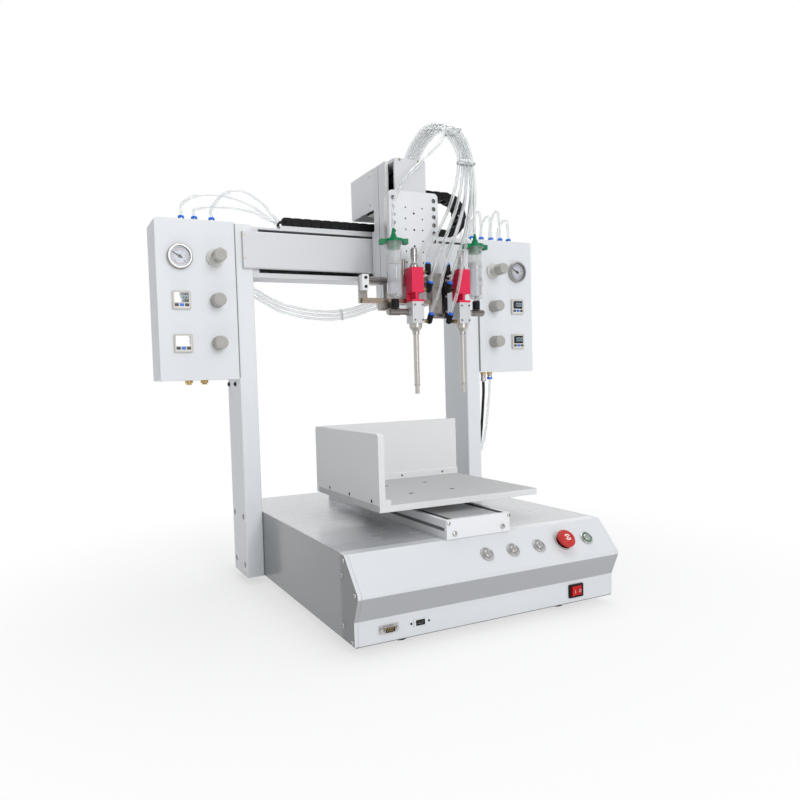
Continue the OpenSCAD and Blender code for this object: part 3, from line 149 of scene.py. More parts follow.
class Value:
    """A node's output that takes part in sums: each operator adds its Math node."""

    def __init__(self, graph, socket):
        self.graph = graph
        self.socket = socket

    def math(self, kind, *values):
        return self.graph.node("ShaderNodeMath", {"operation": kind}, *values)

    __add__ = __radd__ = operation("ADD")
    __mul__ = __rmul__ = operation("MULTIPLY")
    __sub__, __rsub__ = operation("SUBTRACT"), operation("SUBTRACT", True)
    __truediv__, __rtruediv__ = operation("DIVIDE"), operation("DIVIDE", True)
    __mod__, __rmod__ = operation("FLOORED_MODULO"), operation("FLOORED_MODULO", True)
    __lt__, __gt__ = operation("LESS_THAN"), operation("GREATER_THAN")


class Graph:
    """A node tree that is built with one method."""

    def __init__(self, tree):
        self.tree = tree

    def node(self, kind, settings=None, *values, out=0, **named):
        """Adds a node: its settings first, then the values or links of its sockets. Returns an output."""
        made = self.tree.nodes.new(kind)
        for key, value in (settings or {}).items():
            setattr(made, key, value)
        for key, value in [*enumerate(values), *named.items()]:
            if value is not None:
                self.fill(made.inputs[key if isinstance(key, int) else key.replace("_", " ")], value)
        return Value(self, made.outputs[out])

    def fill(self, socket, value):
        """Links a Value to a socket, or sets a constant on it."""
        if isinstance(value, Value):
            self.tree.links.new(value.socket, socket)
        elif socket.type == "RGBA":
            socket.default_value = (*value[:3], 1)
        else:
            socket.default_value = value

    def steps(self, value, low, high, start=0.0, end=1.0):
        """A smooth change from start, where the value is low, to end, where it is high."""
        return self.node("ShaderNodeMapRange", {"interpolation_type": "SMOOTHSTEP"}, value, low, high,
                         start, end)


class Finish(Graph):
    """A material, with the nodes that make its surface. Constants go on the shader's own sockets."""

    def __init__(self, name, **constants):
        self.material = bpy.data.materials.new(name)
        self.material.use_nodes = True
        super().__init__(self.material.node_tree)
        self.shader = self.tree.nodes["Principled BSDF"]
        for key, value in constants.items():
            self.set(key, value)

    def set(self, key, value):
        self.fill(self.shader.inputs[key.replace("_", " ")], value)

    def place(self, stretch=(1, 1, 1)):
        """Object coordinates in metres, stretched along the axes."""
        spot = self.node("ShaderNodeTexCoord", out="Object")
        return self.node("ShaderNodeMapping", None, spot, Scale=stretch)

    def noise(self, scale, detail, stretch=(1, 1, 1)):
        """Noise from 0 to 1. The scale counts waves per metre."""
        return self.node("ShaderNodeTexNoise", None, Vector=self.place(stretch), Scale=scale, Detail=detail,
                         Roughness=0.5)

    def mix(self, factor, a, b):
        """Mixes two colours, each a tuple or a Value."""
        made = self.tree.nodes.new("ShaderNodeMix")
        made.data_type = "RGBA"
        for index, value in ((0, factor), (6, a), (7, b)):
            self.fill(made.inputs[index], value)
        return Value(self, made.outputs[2])

    def bump(self, height, depth):
        """Turns a height from 0 to 1 into relief of the given depth in metres."""
        self.set("Normal", self.node("ShaderNodeBump", None, Strength=1.0, Distance=depth, Height=height))


class Growth(Graph):
    """A geometry node tree with named inputs. What it grows is realized and gets its material."""

    def __init__(self, name, **inputs):
        super().__init__(bpy.data.node_groups.new(name, "GeometryNodeTree"))
        for key, kind in inputs.items():
            self.tree.interface.new_socket(key, in_out="INPUT", socket_type="NodeSocket" + kind)
        self.tree.interface.new_socket("Geometry", in_out="OUTPUT", socket_type="NodeSocketGeometry")
        self.source = self.tree.nodes.new("NodeGroupInput")
        self.target = self.tree.nodes.new("NodeGroupOutput")

    def __getitem__(self, key):
        return Value(self, self.source.outputs[key])

    def end(self, instances):
        solid = self.node("GeometryNodeRealizeInstances", None, instances)
        made = self.node("GeometryNodeSetMaterial", None, Geometry=solid, Material=self["Finish"])
        self.fill(self.target.inputs[0], made)
        return self.tree


@cache
def fastener_tree():
    """Puts a fastener on each point, turned to the point's aim and about its own axis at random."""
    g = Growth("fasteners", Points="Geometry", Head="Object", Size="Float", Seed="Int", Finish="Material")
    aim = g.node("GeometryNodeInputNamedAttribute", {"data_type": "FLOAT_VECTOR"}, "aim")
    lie = g.node("FunctionNodeAlignRotationToVector", {"axis": "Z"}, None, None, aim)
    spin = g.node("FunctionNodeRandomValue", {"data_type": "FLOAT"}, None, None, 0.0, math.tau,
                  Seed=g["Seed"], out=1)
    own = g.node("FunctionNodeAxisAngleToRotation", None, (0, 0, 1), spin)
    turned = g.node("FunctionNodeRotateRotation", {"rotation_space": "LOCAL"}, lie, own)
    head = g.node("GeometryNodeObjectInfo", None, g["Head"], out="Geometry")
    return g.end(g.node("GeometryNodeInstanceOnPoints", None, g["Points"], None, head, None, None, turned,
                        g["Size"]))


@cache
def ring_tree():
    """Sets copies of a piece out on an arc about Z. Every so many of them one is longer."""
    g = Growth("ring", Points="Geometry", Piece="Object", Count="Int", Radius="Float", Start="Float",
               Sweep="Float", Every="Int", Long="Float", Finish="Material")
    line = g.node("GeometryNodeMeshLine", None, g["Count"])
    index = g.node("GeometryNodeInputIndex")
    angle = g["Start"] + g["Sweep"] * index / (g["Count"] - 1)
    long = (index % g["Every"]) < 0.5
    radius = g["Radius"] - long * 0.5 * (g["Long"] - 1) * 0.0015
    spot = g.node("ShaderNodeCombineXYZ", None, radius * angle.math("COSINE", angle),
                  radius * angle.math("SINE", angle))
    placed = g.node("GeometryNodeSetPosition", None, line, None, spot)
    turn = g.node("FunctionNodeAxisAngleToRotation", None, (0, 0, 1), angle)
    size = g.node("ShaderNodeCombineXYZ", None, 1 + long * (g["Long"] - 1), 1.0, 1.0)
    piece = g.node("GeometryNodeObjectInfo", None, g["Piece"], out="Geometry")
    return g.end(g.node("GeometryNodeInstanceOnPoints", None, placed, None, piece, None, None, turn, size))


def shown(graph):
    """1 where the camera looks, itself or by way of metal or glass."""
    straight, mirrored, through = (graph.node("ShaderNodeLightPath", out="Is " + way + " Ray")
                                   for way in ("Camera", "Glossy", "Transmission"))
    return straight.math("MAXIMUM", straight.math("MAXIMUM", straight, mirrored), through)


def shade(tint, factor):
    """A tint made darker or lighter."""
    return tuple(min(1.0, c * factor) for c in tint)


def paint(name, tint, rough=0.42, gloss=0.0, peel=0.00002, metallic=0.0, shine=0.5):
    """Powder coat or lacquer: a faint mottle, orange peel in the relief and uneven gloss."""
    f = Finish(name, Coat_Weight=gloss, Coat_Roughness=0.12, Metallic=metallic, Specular_IOR_Level=shine)
    f.set("Base Color", f.mix(f.noise(7, 3), shade(tint, 0.97), shade(tint, 1.02)))
    f.set("Roughness", f.noise(30, 3) * 0.10 + (rough - 0.05))
    f.bump(f.noise(900, 1) * 0.7 + f.noise(2600, 1) * 0.3, peel)
    return f.material


def metal(name, tint, rough=0.3, stretch=(1, 1, 1), grain=0.00001, scale=700):
    """Bare metal with tool marks that run along the axis whose stretch is smallest."""
    f = Finish(name, Metallic=1.0)
    marks = f.noise(scale, 3, stretch)
    f.set("Base Color", f.mix(marks, shade(tint, 0.88), shade(tint, 1.06)))
    f.set("Roughness", marks * 0.16 + f.noise(25, 2) * 0.10 + (rough - 0.13))
    f.bump(marks, grain)
    return f.material


def top_sheet(name, tint, border):
    """The cabinet's polished top: clouded gloss, with a lighter border along the front."""
    f = Finish(name, Coat_Weight=0.6, Coat_Roughness=0.2)
    back = f.node("ShaderNodeSeparateXYZ", None, f.place(), out=1)
    clouds = f.steps(f.noise(9, 4, (1, 1.6, 1)), 0.35, 0.7)
    inner = f.mix(clouds, shade(tint, 0.90), shade(tint, 1.10))
    f.set("Base Color", f.mix(f.steps(back, SHIFT.y + 46.5 * MM, SHIFT.y + 47 * MM), border, inner))
    f.set("Roughness", clouds * 0.12 + 0.20)
    f.bump(f.noise(900, 1), 0.000005)
    return f.material


def plastic(name, tint, rough=0.45, grain=0.00001, scale=1500, gloss=0.0, shine=0.5):
    """Moulded plastic: a fine spark-eroded grain and handling marks in the gloss."""
    f = Finish(name, Coat_Weight=gloss, Coat_Roughness=0.03, Specular_IOR_Level=shine)
    f.set("Base Color", f.mix(f.noise(18, 3), shade(tint, 0.94), shade(tint, 1.04)))
    f.set("Roughness", f.noise(60, 4) * 0.14 + (rough - 0.07))
    f.bump(f.noise(scale, 2), grain)
    return f.material


def clear(name, tint, rough=0.12, milk=0.25, ior=1.42):
    """Clear or milky plastic of hoses and syringes."""
    f = Finish(name, Roughness=rough, IOR=ior, Transmission_Weight=1.0 - milk)
    f.set("Base Color", f.mix(f.noise(40, 2), shade(tint, 0.96), tint))
    return f.material


def lamp(name, tint, power):
    """Moulded plastic with a little light behind it, its tone clouded at random."""
    f = Finish(name, Roughness=0.4, Specular_IOR_Level=0.25, Emission_Strength=power)
    cloudy = f.mix(f.noise(200, 2), shade(tint, 0.85), tint)
    f.set("Base Color", cloudy)
    f.set("Emission Color", cloudy)
    return f.material


def thread(name, tint, axis, pitch):
    """Rolled ball screw thread: grooves across the axis, darker towards their bottoms with painted shade."""
    f = Finish(name, Metallic=1.0)
    spot = f.node("ShaderNodeSeparateXYZ", None, f.place(), out=axis)
    groove = spot.math("PINGPONG", spot, pitch / 2) / (pitch / 2)
    # The colour darkens to half towards each groove's bottom: painted shade
    f.set("Base Color", f.mix(groove, shade(tint, 0.5), tint))
    f.set("Roughness", f.noise(200, 2) * 0.1 + 0.22)
    f.bump(groove, 0.0008)
    return f.material


@cache
def finishes():
    """The machine's finishes by name, made once."""
    c = bpy.context.scene.coating_colours
    return dict(
        paint=paint("powder_coat_light", c.paint),
        # The cabinet's front is the light paint of the boxes and columns made 15 per cent darker: painted
        # shade
        front=paint("powder_coat_front", shade(c.paint, 0.85), 0.40, 0.25),
        # The band's grey is partly its own darker paint and partly painted shade, as the band leans inwards
        # under the panel
        band=paint("powder_coat_band", shade(c.paint, 0.47), 0.38, 0.1),
        top=top_sheet("gloss_top_sheet", shade(c.paint, 0.63), shade(c.paint, 0.90)),
        cheek=paint("end_cap_paint", shade(c.panel, 0.78), 0.32, 0.3),
        label=paint("bare_label", shade(c.paint, 0.99), 0.55, 0.0, 0.000003, shine=0.3),
        panel=paint("gloss_side_paint", c.panel, 0.22, 0.5, 0.000008),
        cover=paint("cover_white", c.cover, 0.40),
        box=paint("box_paint", shade(c.paint, 0.98), 0.45),
        fixture=paint("fixture_coat", c.fixture, 0.6, 0.0, 0.00003),
        # The walls are the fixture grey made half as bright again: painted light on the upright walls
        wall=paint("fixture_wall_coat", shade(c.fixture, 1.50), 0.6, 0.0, 0.00003),
        anodised=paint("anodised_satin", shade(c.cover, 1.16), 0.42, 0.0, 0.000005, 0.1),
        strip=paint("cover_strip", shade(c.cover, 0.85), 0.16, 0.8, 0.000003),
        hood=paint("motor_hood_paint", shade(c.cover, 1.30), 0.40),
        silver=paint("silver_anodised", shade(c.cover, 0.98), 0.36, 0.0, 0.000004, 0.15),
        milled=metal("milled_aluminium", shade(c.steel, 1.25), 0.38, (0.05, 1, 1)),
        plate=paint("plate_anodised", shade(c.cover, 1.15), 0.38, 0.1, 0.000008),
        steel=metal("turned_steel", c.steel, 0.26, (1, 1, 14)),
        rail=metal("ground_steel", shade(c.steel, 0.8), 0.22, (0.05, 1, 1)),
        chrome=metal("satin_chrome", shade(c.steel, 1.1), 0.3, (1, 1, 1), 0.000002),
        bezel=paint("gauge_bezel", (0.40, 0.395, 0.385), 0.32, 0.0, 0.000002, 0.8),
        brass=metal("brass", c.brass, 0.28, (1, 1, 6), 0.000004),
        screw_brass=metal("screw_brass", (0.44, 0.38, 0.29), 0.36, (1, 1, 1), 0.000002),
        bracket=metal("bracket_steel", (0.40, 0.375, 0.35), 0.32, (1, 1, 0.1), 0.000006),
        gunmetal=metal("gunmetal_pipe", (0.27, 0.25, 0.235), 0.28, (1, 1, 6), 0.000003),
        zinc=metal("zinc_plate", shade(c.steel, 0.9), 0.42, (1, 0.2, 1)),
        motor=paint("motor_lacquer", shade(c.black, 1.6), 0.35, 0.2, 0.00001),
        black=plastic("black_nylon", c.black, 0.5, shine=0.18),
        rubber=plastic("foot_rubber", c.black, 0.75, 0.00003, 900),
        beige=plastic("knob_plastic", c.beige, 0.5, shine=0.3),
        # Darker knob plastic for the rings on the knobs' faces: painted shade in their grooves
        groove=plastic("knob_grooves", shade(c.beige, 0.62), 0.6, shine=0.2),
        switch=plastic("switch_plastic", c.switch_frame, 0.45),
        crimson=paint("crimson_anodised", c.crimson, 0.42, 0.0, 0.000006, shine=0.3),
        red=plastic("stop_red", shade(c.red, 0.8), 0.36, 0.000004, 900, 0.1, 0.3),
        green=plastic("cap_green", shade(c.green, 0.75), 0.4, 0.000004, 900, shine=0.25),
        blue=plastic("ring_blue", c.blue, 0.35, 0.000004, 900, shine=0.4),
        hose=clear("clear_hose", (0.965, 0.98, 0.985), 0.10, 0.13, 1.25),
        syringe=clear("syringe_barrel", (0.98, 0.985, 0.99), 0.07, 0.14, 1.25),
        glass=clear("gauge_glass", (1.0, 1.0, 1.0), 0.02, 0.0, 1.2),
        tie=plastic("tie_nylon", (0.80, 0.82, 0.80), 0.4, 0.000003),
        fluid=clear("coating_fluid", (0.90, 0.93, 0.99), 0.06, 0.22, 1.2),
        valve=paint("valve_stainless", (0.56, 0.535, 0.505), 0.34, 0.0, 0.000003, 0.8),
        nickel=metal("nickel_plate", shade(c.steel, 1.1), 0.22, (1, 1, 1), 0.000002),
        bronze=metal("bar_bronze", (0.46, 0.37, 0.29), 0.3, (0.05, 1, 1), 0.000004),
        piston=clear("syringe_piston", (0.93, 0.95, 0.96), 0.2, 0.6, 1.3),
        clamp=paint("clamp_coat", (0.84, 0.85, 0.86), 0.3, 0.2, 0.000006),
        # A dark grey for painted shade in gaps, slots and under edges
        seam=plastic("gasket_grey", (0.20, 0.205, 0.21), 0.7, shine=0.2),
        dark=metal("black_oxide", (0.035, 0.035, 0.04), 0.38, (1, 1, 1), 0.000004),
        white=plastic("print_white", (0.86, 0.86, 0.85), 0.4, 0.000002),
        dull=plastic("print_dull", (0.62, 0.42, 0.40), 0.5, 0.000002, shine=0.3),
        pale=plastic("collar_pale", (0.66, 0.66, 0.62), 0.42, 0.000004),
        dial=paint("dial_enamel", (0.78, 0.83, 0.92), 0.35, 0.3, 0.000002),
        red_mark=plastic("dial_red", (0.5, 0.05, 0.05), 0.4, 0.000002),
        switch_face=plastic("switch_face", shade(c.switch_frame, 1.38), 0.45, 0.000004, shine=0.3),
        window=plastic("switch_window", (0.006, 0.009, 0.016), 0.09, 0.0000002, 900, 1.0),
        digit=lamp("switch_figures", (0.60, 0.74, 0.85), 0.25),
        digit_off=plastic("switch_figures_off", (0.025, 0.03, 0.035), 0.2, 0.000002, 900, 1.0),
        key_grey=plastic("soft_key_grey", (0.06, 0.06, 0.065), 0.5, 0.000004),
        key_blue=plastic("soft_key_blue", (0.01, 0.17, 0.72), 0.4, 0.000004),
        green_ring=lamp("start_ring", (0.004, 0.20, 0.09), 0.08),
        grey_ring=plastic("lens_grey", (0.30, 0.31, 0.32), 0.25, 0.000003, 900, 0.5),
        lamp=lamp("switch_red", (0.52, 0.003, 0.004), 0.06),
        fixture_edge=paint("fixture_edge", shade(c.fixture, 1.40), 0.5, 0.0, 0.00001),
        thread_x=thread("screw_thread_x", c.steel, 0, 0.005),
        thread_y=thread("screw_thread_y", c.steel, 1, 0.005),
        thread_z=thread("screw_thread_z", c.steel, 2, 0.005),
    )


# Meshes


def altered(data, kind=None, inputs=None, **settings):
    """The mesh that a mesh or a text becomes, by way of one modifier or of none."""
    draft = bpy.data.objects.new("draft", data)
    bpy.context.scene.collection.objects.link(draft)
    if kind:
        modifier = draft.modifiers.new("alteration", kind)
        for key, value in settings.items():
            setattr(modifier, key, value)
    for item in modifier.node_group.interface.items_tree if inputs else ():
        if item.in_out == "INPUT" and item.name in inputs:
            modifier[item.identifier] = inputs[item.name]
    graph = bpy.context.evaluated_depsgraph_get()
    mesh = bpy.data.meshes.new_from_object(draft.evaluated_get(graph))
    bpy.data.objects.remove(draft)
    return mesh


def smooth_edges(mesh, names, angle=32):
    """Gives a mesh its finishes and smooth faces with crisp edges."""
    numbers = [f.material_index for f in mesh.polygons]
    mesh.materials.clear()
    for name in names:
        mesh.materials.append(finishes()[name])
    mesh.polygons.foreach_set("material_index", numbers)
    mesh.shade_smooth()
    mesh.set_sharp_from_angle(angle=math.radians(angle))
    return mesh


def level_faces(mesh):
    """The same mesh with normals that keep its large faces flat beside the rounded edges."""
    level = altered(mesh, "WEIGHTED_NORMAL", keep_sharp=True)
    level.name = mesh.name
    return level


def place_piece(name, mesh, node, body=None, replaces=False):
    """Puts a finished mesh into the scene. It rides on that node's body or on another; given two bodies, it
    only has its place baked into its mesh. It may stand in for the node."""
    piece = bpy.data.objects.new(name, mesh)
    bpy.context.scene.collection.objects.link(piece)
    body = body or BODIES[node]
    if isinstance(body, str):
        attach(piece, body)
    else:
        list(body)
        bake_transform(piece)
    if replaces:
        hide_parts(node)
    return piece


def grown(name, tree, start, finish, node, move=Matrix(), **inputs):
    """The piece that a growth makes from a mesh, moved by a matrix."""
    mesh = altered(start, "NODES", dict(inputs, Finish=finishes()[finish]), node_group=tree)
    mesh.transform(move)
    mesh.name = name
    return place_piece(name, smooth_edges(mesh, [finish]), node)


def islands(bm):
    """The separate solids of a mesh, each a list of faces."""
    seen = set()
    for face in bm.faces:
        if face in seen:
            continue
        seen.add(face)
        part = [face]
        for f in part:
            near = {other for edge in f.edges for other in edge.link_faces} - seen
            seen |= near
            part += near
        yield part


def drawn(point):
    """A place in the frame, in metres, as a point of the construction drawing, in millimetres."""
    return (Vector(point) - SHIFT) / MM


def turns(line, spot):
    """How often a closed line runs round a spot."""
    count = 0
    for a, b in zip(line, line[1:] + line[:1]):
        if (a.y > spot.y) != (b.y > spot.y) and a.x + (spot.y - a.y) / (b.y - a.y) * (b.x - a.x) > spot.x:
            count += 1 if b.y > a.y else -1
    return count


def mend(mesh):
    """Cuts the faces anew whose outline crosses itself after the rounding, so that no opening is filled."""
    mesh.calc_loop_triangles()
    crossed = {t.polygon_index for t in mesh.loop_triangles
               if t.area > 1e-7 and t.normal.dot(mesh.polygons[t.polygon_index].normal) < 0}
    bm = bmesh.new()
    bm.from_mesh(mesh)
    bm.faces.ensure_lookup_table()
    for face in [bm.faces[k] for k in crossed]:
        flat = facing(face.verts[0].co, face.normal)
        line = [(flat.inverted() @ v.co).to_2d() / MM for v in face.verts]
        spots, _, cells, source, _, _ = delaunay_2d_cdt(line, [], [list(range(len(line)))], 0, 1e-5)
        corners = [face.verts[old[0]] if old else bm.verts.new(flat @ (spot * MM).to_3d())
                   for spot, old in zip(spots, source)]
        for cell in cells:
            if turns(line, sum((spots[i] for i in cell), Vector((0, 0))) / len(cell)) > 0:
                bm.faces.new([corners[i] for i in cell], face)
        bm.faces.remove(face)
    if crossed:
        bm.to_mesh(mesh)
    bm.free()


def dressed(node, *names, solids=None, faces=None, edge=None, body=None):
    """A copy of a node with joined faces, rounded edges and finishes.
    solids takes a solid's middle and size, and faces a face's middle and normal, all in millimetres, and
    each returns the number of the finish. faces may return None to leave a face as it is."""
    bm = bmesh.new()
    bm.from_mesh(frame["nodes"][node].data)
    bmesh.ops.remove_doubles(bm, verts=bm.verts, dist=1e-6)
    bmesh.ops.recalc_face_normals(bm, faces=bm.faces)
    for part in islands(bm):
        points = [v.co for f in part for v in f.verts]
        low, high = (drawn([pick(p[i] for p in points) for i in range(3)]) for pick in (min, max))
        number = solids((low + high) / 2, high - low) if solids else 0
        for f in part:
            f.material_index = number
    bmesh.ops.dissolve_limit(bm, angle_limit=math.radians(0.3), verts=bm.verts, edges=bm.edges,
                             delimit={"MATERIAL"})
    mesh = bpy.data.meshes.new("draft")
    bm.to_mesh(mesh)
    bm.free()
    edge = bpy.context.scene.coating_sizes.edge if edge is None else edge
    if edge:
        mesh = altered(mesh, "BEVEL", width=edge, segments=2, limit_method="ANGLE",
                       angle_limit=math.radians(38), miter_outer="MITER_ARC")
    for f in mesh.polygons if faces else ():
        number = faces(drawn(f.center), f.normal)
        if number is not None:
            f.material_index = number
    mend(mesh)
    mesh.name = node + "_dressed"
    return place_piece(mesh.name, level_faces(smooth_edges(mesh, names)), node, body, True)


def coat(node, name):
    """Gives a hidden node's own mesh a better material."""
    mesh = frame["nodes"][node].data
    mesh.materials.clear()
    mesh.materials.append(finishes()[name])


def axes(origin, x, y, z):
    """The matrix that sets local axes down at a point."""
    return Matrix.Translation(Vector(origin)) @ Matrix((x, y, z)).transposed().to_4x4()


def moved(x, y, z=0):
    """The matrix that only moves."""
    return Matrix.Translation((x, y, z))


def facing(origin, ahead):
    """The matrix whose Z looks along a direction."""
    return Matrix.Translation(Vector(origin)) @ Vector(ahead).to_track_quat("Z", "Y").to_matrix().to_4x4()


def forward(x, y, z):
    """Z looks out of a front at depth y, and X runs to the right."""
    return axes((x, y, z), (1, 0, 0), (0, 0, 1), (0, -1, 0))


def sloping(x):
    """Z looks out of the sloping control panel."""
    slope = math.atan2(48, 43)
    c, s = math.cos(slope), math.sin(slope)
    return axes((x, 5.5, 96), (1, 0, 0), (0, c, s), (0, -s, c))


def polar(radius, degrees):
    """Points about the origin at some angles."""
    return [(radius * math.cos(a), radius * math.sin(a)) for a in map(math.radians, degrees)]


def washer(bore, radius, low, high):
    """The profile of a flat ring, or of a disc where the bore is 0."""
    return [(bore, low), (radius, low), (radius, high), (bore, high)]


def box_outline(w, h, r=0.0, n=4):
    """A rectangle about the origin with round corners."""
    if not r:
        return [(-w / 2, -h / 2), (w / 2, -h / 2), (w / 2, h / 2), (-w / 2, h / 2)]
    points = []
    for k, (x, y) in enumerate(((1, 1), (-1, 1), (-1, -1), (1, -1))):
        for i in range(n + 1):
            a = math.pi / 2 * (k + i / n)
            points.append((x * (w / 2 - r) + r * math.cos(a), y * (h / 2 - r) + r * math.sin(a)))
    return points


class Shape:
    """Solids gathered into one mesh, each with its own finish. Places are millimetres of the drawing."""

    def __init__(self):
        self.bm = bmesh.new()
        self.used = []

    def add(self, finish, points, faces, place=None, edge=0.0):
        """Adds a closed shell of points and faces."""
        if finish not in self.used:
            self.used.append(finish)
        place = place or Matrix.Identity(4)
        made = [self.bm.verts.new(place @ Vector(p)) for p in points]
        slot = self.used.index(finish)
        skin = [self.bm.faces.new([made[i] for i in f]) for f in faces]
        for f in skin:
            f.material_index = slot
        if edge:
            bmesh.ops.recalc_face_normals(self.bm, faces=skin)
            rims = [e for e in {e for f in skin for e in f.edges} if e.calc_face_angle(0) > 0.7]
            rounded = bmesh.ops.bevel(self.bm, geom=rims, offset=edge, segments=2, profile=0.5,
                                      affect="EDGES", clamp_overlap=True)
            for f in rounded["faces"]:
                f.material_index = slot
        return self

    def loft(self, finish, rings, place=None, edge=0.0, closed=False):
        """Rings of as many points each, joined one to the next. The ends are capped or, if closed, joined."""
        number = {p: i for i, p in enumerate(dict.fromkeys(p for ring in rings for p in ring))}
        rows = [[number[p] for p in ring] for ring in rings]
        faces = [] if closed else [rows[0][::-1], rows[-1]]
        for low, high in zip(rows, rows[1:] + rows[:1] if closed else rows[1:]):
            for k, m in zip(range(len(low)), [*range(1, len(low)), 0]):
                faces.append((low[k], low[m], high[m], high[k]))
        faces = [list(dict.fromkeys(f)) for f in faces]
        return self.add(finish, list(number), [f for f in faces if len(f) > 2], place, edge)

    def prism(self, finish, outline, z, place=None, edge=0.0):
        """An outline drawn out between two heights."""
        return self.loft(finish, [[(*p, h) for p in outline] for h in z], place, edge)

    def block(self, finish, x, y, z, edge=0.3):
        """A box between two values on each axis."""
        return self.prism(finish, [(x[0], y[0]), (x[1], y[0]), (x[1], y[1]), (x[0], y[1])], z, None, edge)

    def band(self, finish, outer, inner, z, place):
        """The ring between two outlines of as many points, drawn out between two heights."""
        low, high = z
        rings = ((outer, low), (outer, high), (inner, high), (inner, low))
        return self.loft(finish, [[(*p, h) for p in line] for line, h in rings], place, closed=True)

    def lathe(self, finish, profile, place, sides=48):
        """A closed outline of radius and height turned about Z. A third number 6 makes a point hexagonal."""
        rings = []
        for r, z, *form in profile:
            rings.append([])
            for k in range(sides):
                a = math.tau * k / sides
                far = r * math.cos(math.pi / 6) / math.cos(a % (math.pi / 3) - math.pi / 6) if form else r
                rings[-1].append((far * math.cos(a), far * math.sin(a), z))
        return self.loft(finish, rings, place, closed=True)

    def tube(self, finish, path, radius, bore, sides=16):
        """A round tube along a path, with a bore or without one."""
        spots, over = [], Vector((0.3, 0.9, 0.3))
        for i, p in enumerate(path):
            ahead = (path[min(i + 1, len(path) - 1)] - path[max(i - 1, 0)]).normalized()
            over = (over - ahead * over.dot(ahead)).normalized()
            spots.append((p, over, ahead.cross(over)))
        walls = [(radius, p, u, v) for p, u, v in spots]
        if bore:
            walls += [(bore, p, u, v) for p, u, v in reversed(spots)]
        angles = [math.tau * k / sides for k in range(sides)]
        rings = [[tuple(p + u * (r * math.cos(a)) + v * (r * math.sin(a))) for a in angles]
                 for r, p, u, v in walls]
        return self.loft(finish, rings, closed=bool(bore))

    def mesh(self, name, place):
        """The bare mesh, moved into its place, in metres."""
        bmesh.ops.recalc_face_normals(self.bm, faces=self.bm.faces)
        mesh = bpy.data.meshes.new(name)
        self.bm.to_mesh(mesh)
        self.bm.free()
        mesh.transform(place)
        return mesh

    def pattern(self, name):
        """An object about the origin for a growth to copy. It is never linked to the scene."""
        return bpy.data.objects.new(name, self.mesh(name, Matrix.Scale(MM, 4)))

    def place(self, name, node, body=None, replaces=False, angle=32):
        mesh = smooth_edges(self.mesh(name, DRAWING), self.used, angle)
        return place_piece(name, level_faces(mesh), node, body, replaces)


# Small parts that come in rows

FRONT, BACK, LEFT, UP = (0, -1, 0), (0, 1, 0), (-1, 0, 0), (0, 0, 1)
HEADS = {
    "pan": [(0, 0), (1, 0), (1, 0.18), (0.9, 0.42), (0.55, 0.56), (0.46, 0.56, 6), (0.46, 0.22, 6),
            (0, 0.22)],
    "cap": [(0, 0), (1, 0), (1, 0.9), (0.9, 1), (0.52, 1, 6), (0.52, 0.4, 6), (0, 0.4)],
    "sunk": [(0, 0), (1, 0), (1, 0.06), (0.94, 0.12), (0.5, 0.12, 6), (0.5, 0.02, 6), (0, 0.02)],
}


def crossings(aim, xs, ys, zs):
    """Screws that look one way, at every crossing of the given places."""
    return [((x, y, z), aim) for x in xs for y in ys for z in zs]


def both_sides(out, spots, middle=0):
    """Screws on the left and the right side, looking outwards, at spots of depth and height."""
    return [((middle + side * out, *spot), (side, 0, 0)) for side in (-1, 1) for spot in spots]


def fasteners(name, kind, radius, finish, node, spots, seed):
    """Screw heads on spots, each a point and the direction that the head looks, in millimetres."""
    points = bpy.data.meshes.new(name)
    points.from_pydata([at(*p) for p, _ in spots], [], [])
    aim = points.attributes.new("aim", "FLOAT_VECTOR", "POINT")
    aim.data.foreach_set("vector", [c for _, a in spots for c in a])
    pattern = Shape().lathe("steel", HEADS[kind], None, 24).pattern(kind)
    grown(name, fastener_tree(), points, finish, node, Head=pattern, Size=float(radius), Seed=seed)


def ring(name, bar, place, finish, node, **values):
    """Copies of a small bar of a width, depth and height on an arc about Z of a place."""
    w, d, h = bar
    pattern = Shape().block("black", (-w / 2, w / 2), (-d / 2, d / 2), (0, h), min(bar) * 0.2).pattern("bar")
    grown(name, ring_tree(), bpy.data.meshes.new(name), finish, node,
          DRAWING @ place @ Matrix.Scale(1 / MM, 4), Piece=pattern, **values)


# Operators


class Maker:
    """What the operators share."""

    bl_options = {"REGISTER", "UNDO"}

    def execute(self, context):
        self.make(context.scene)
        return {"FINISHED"}


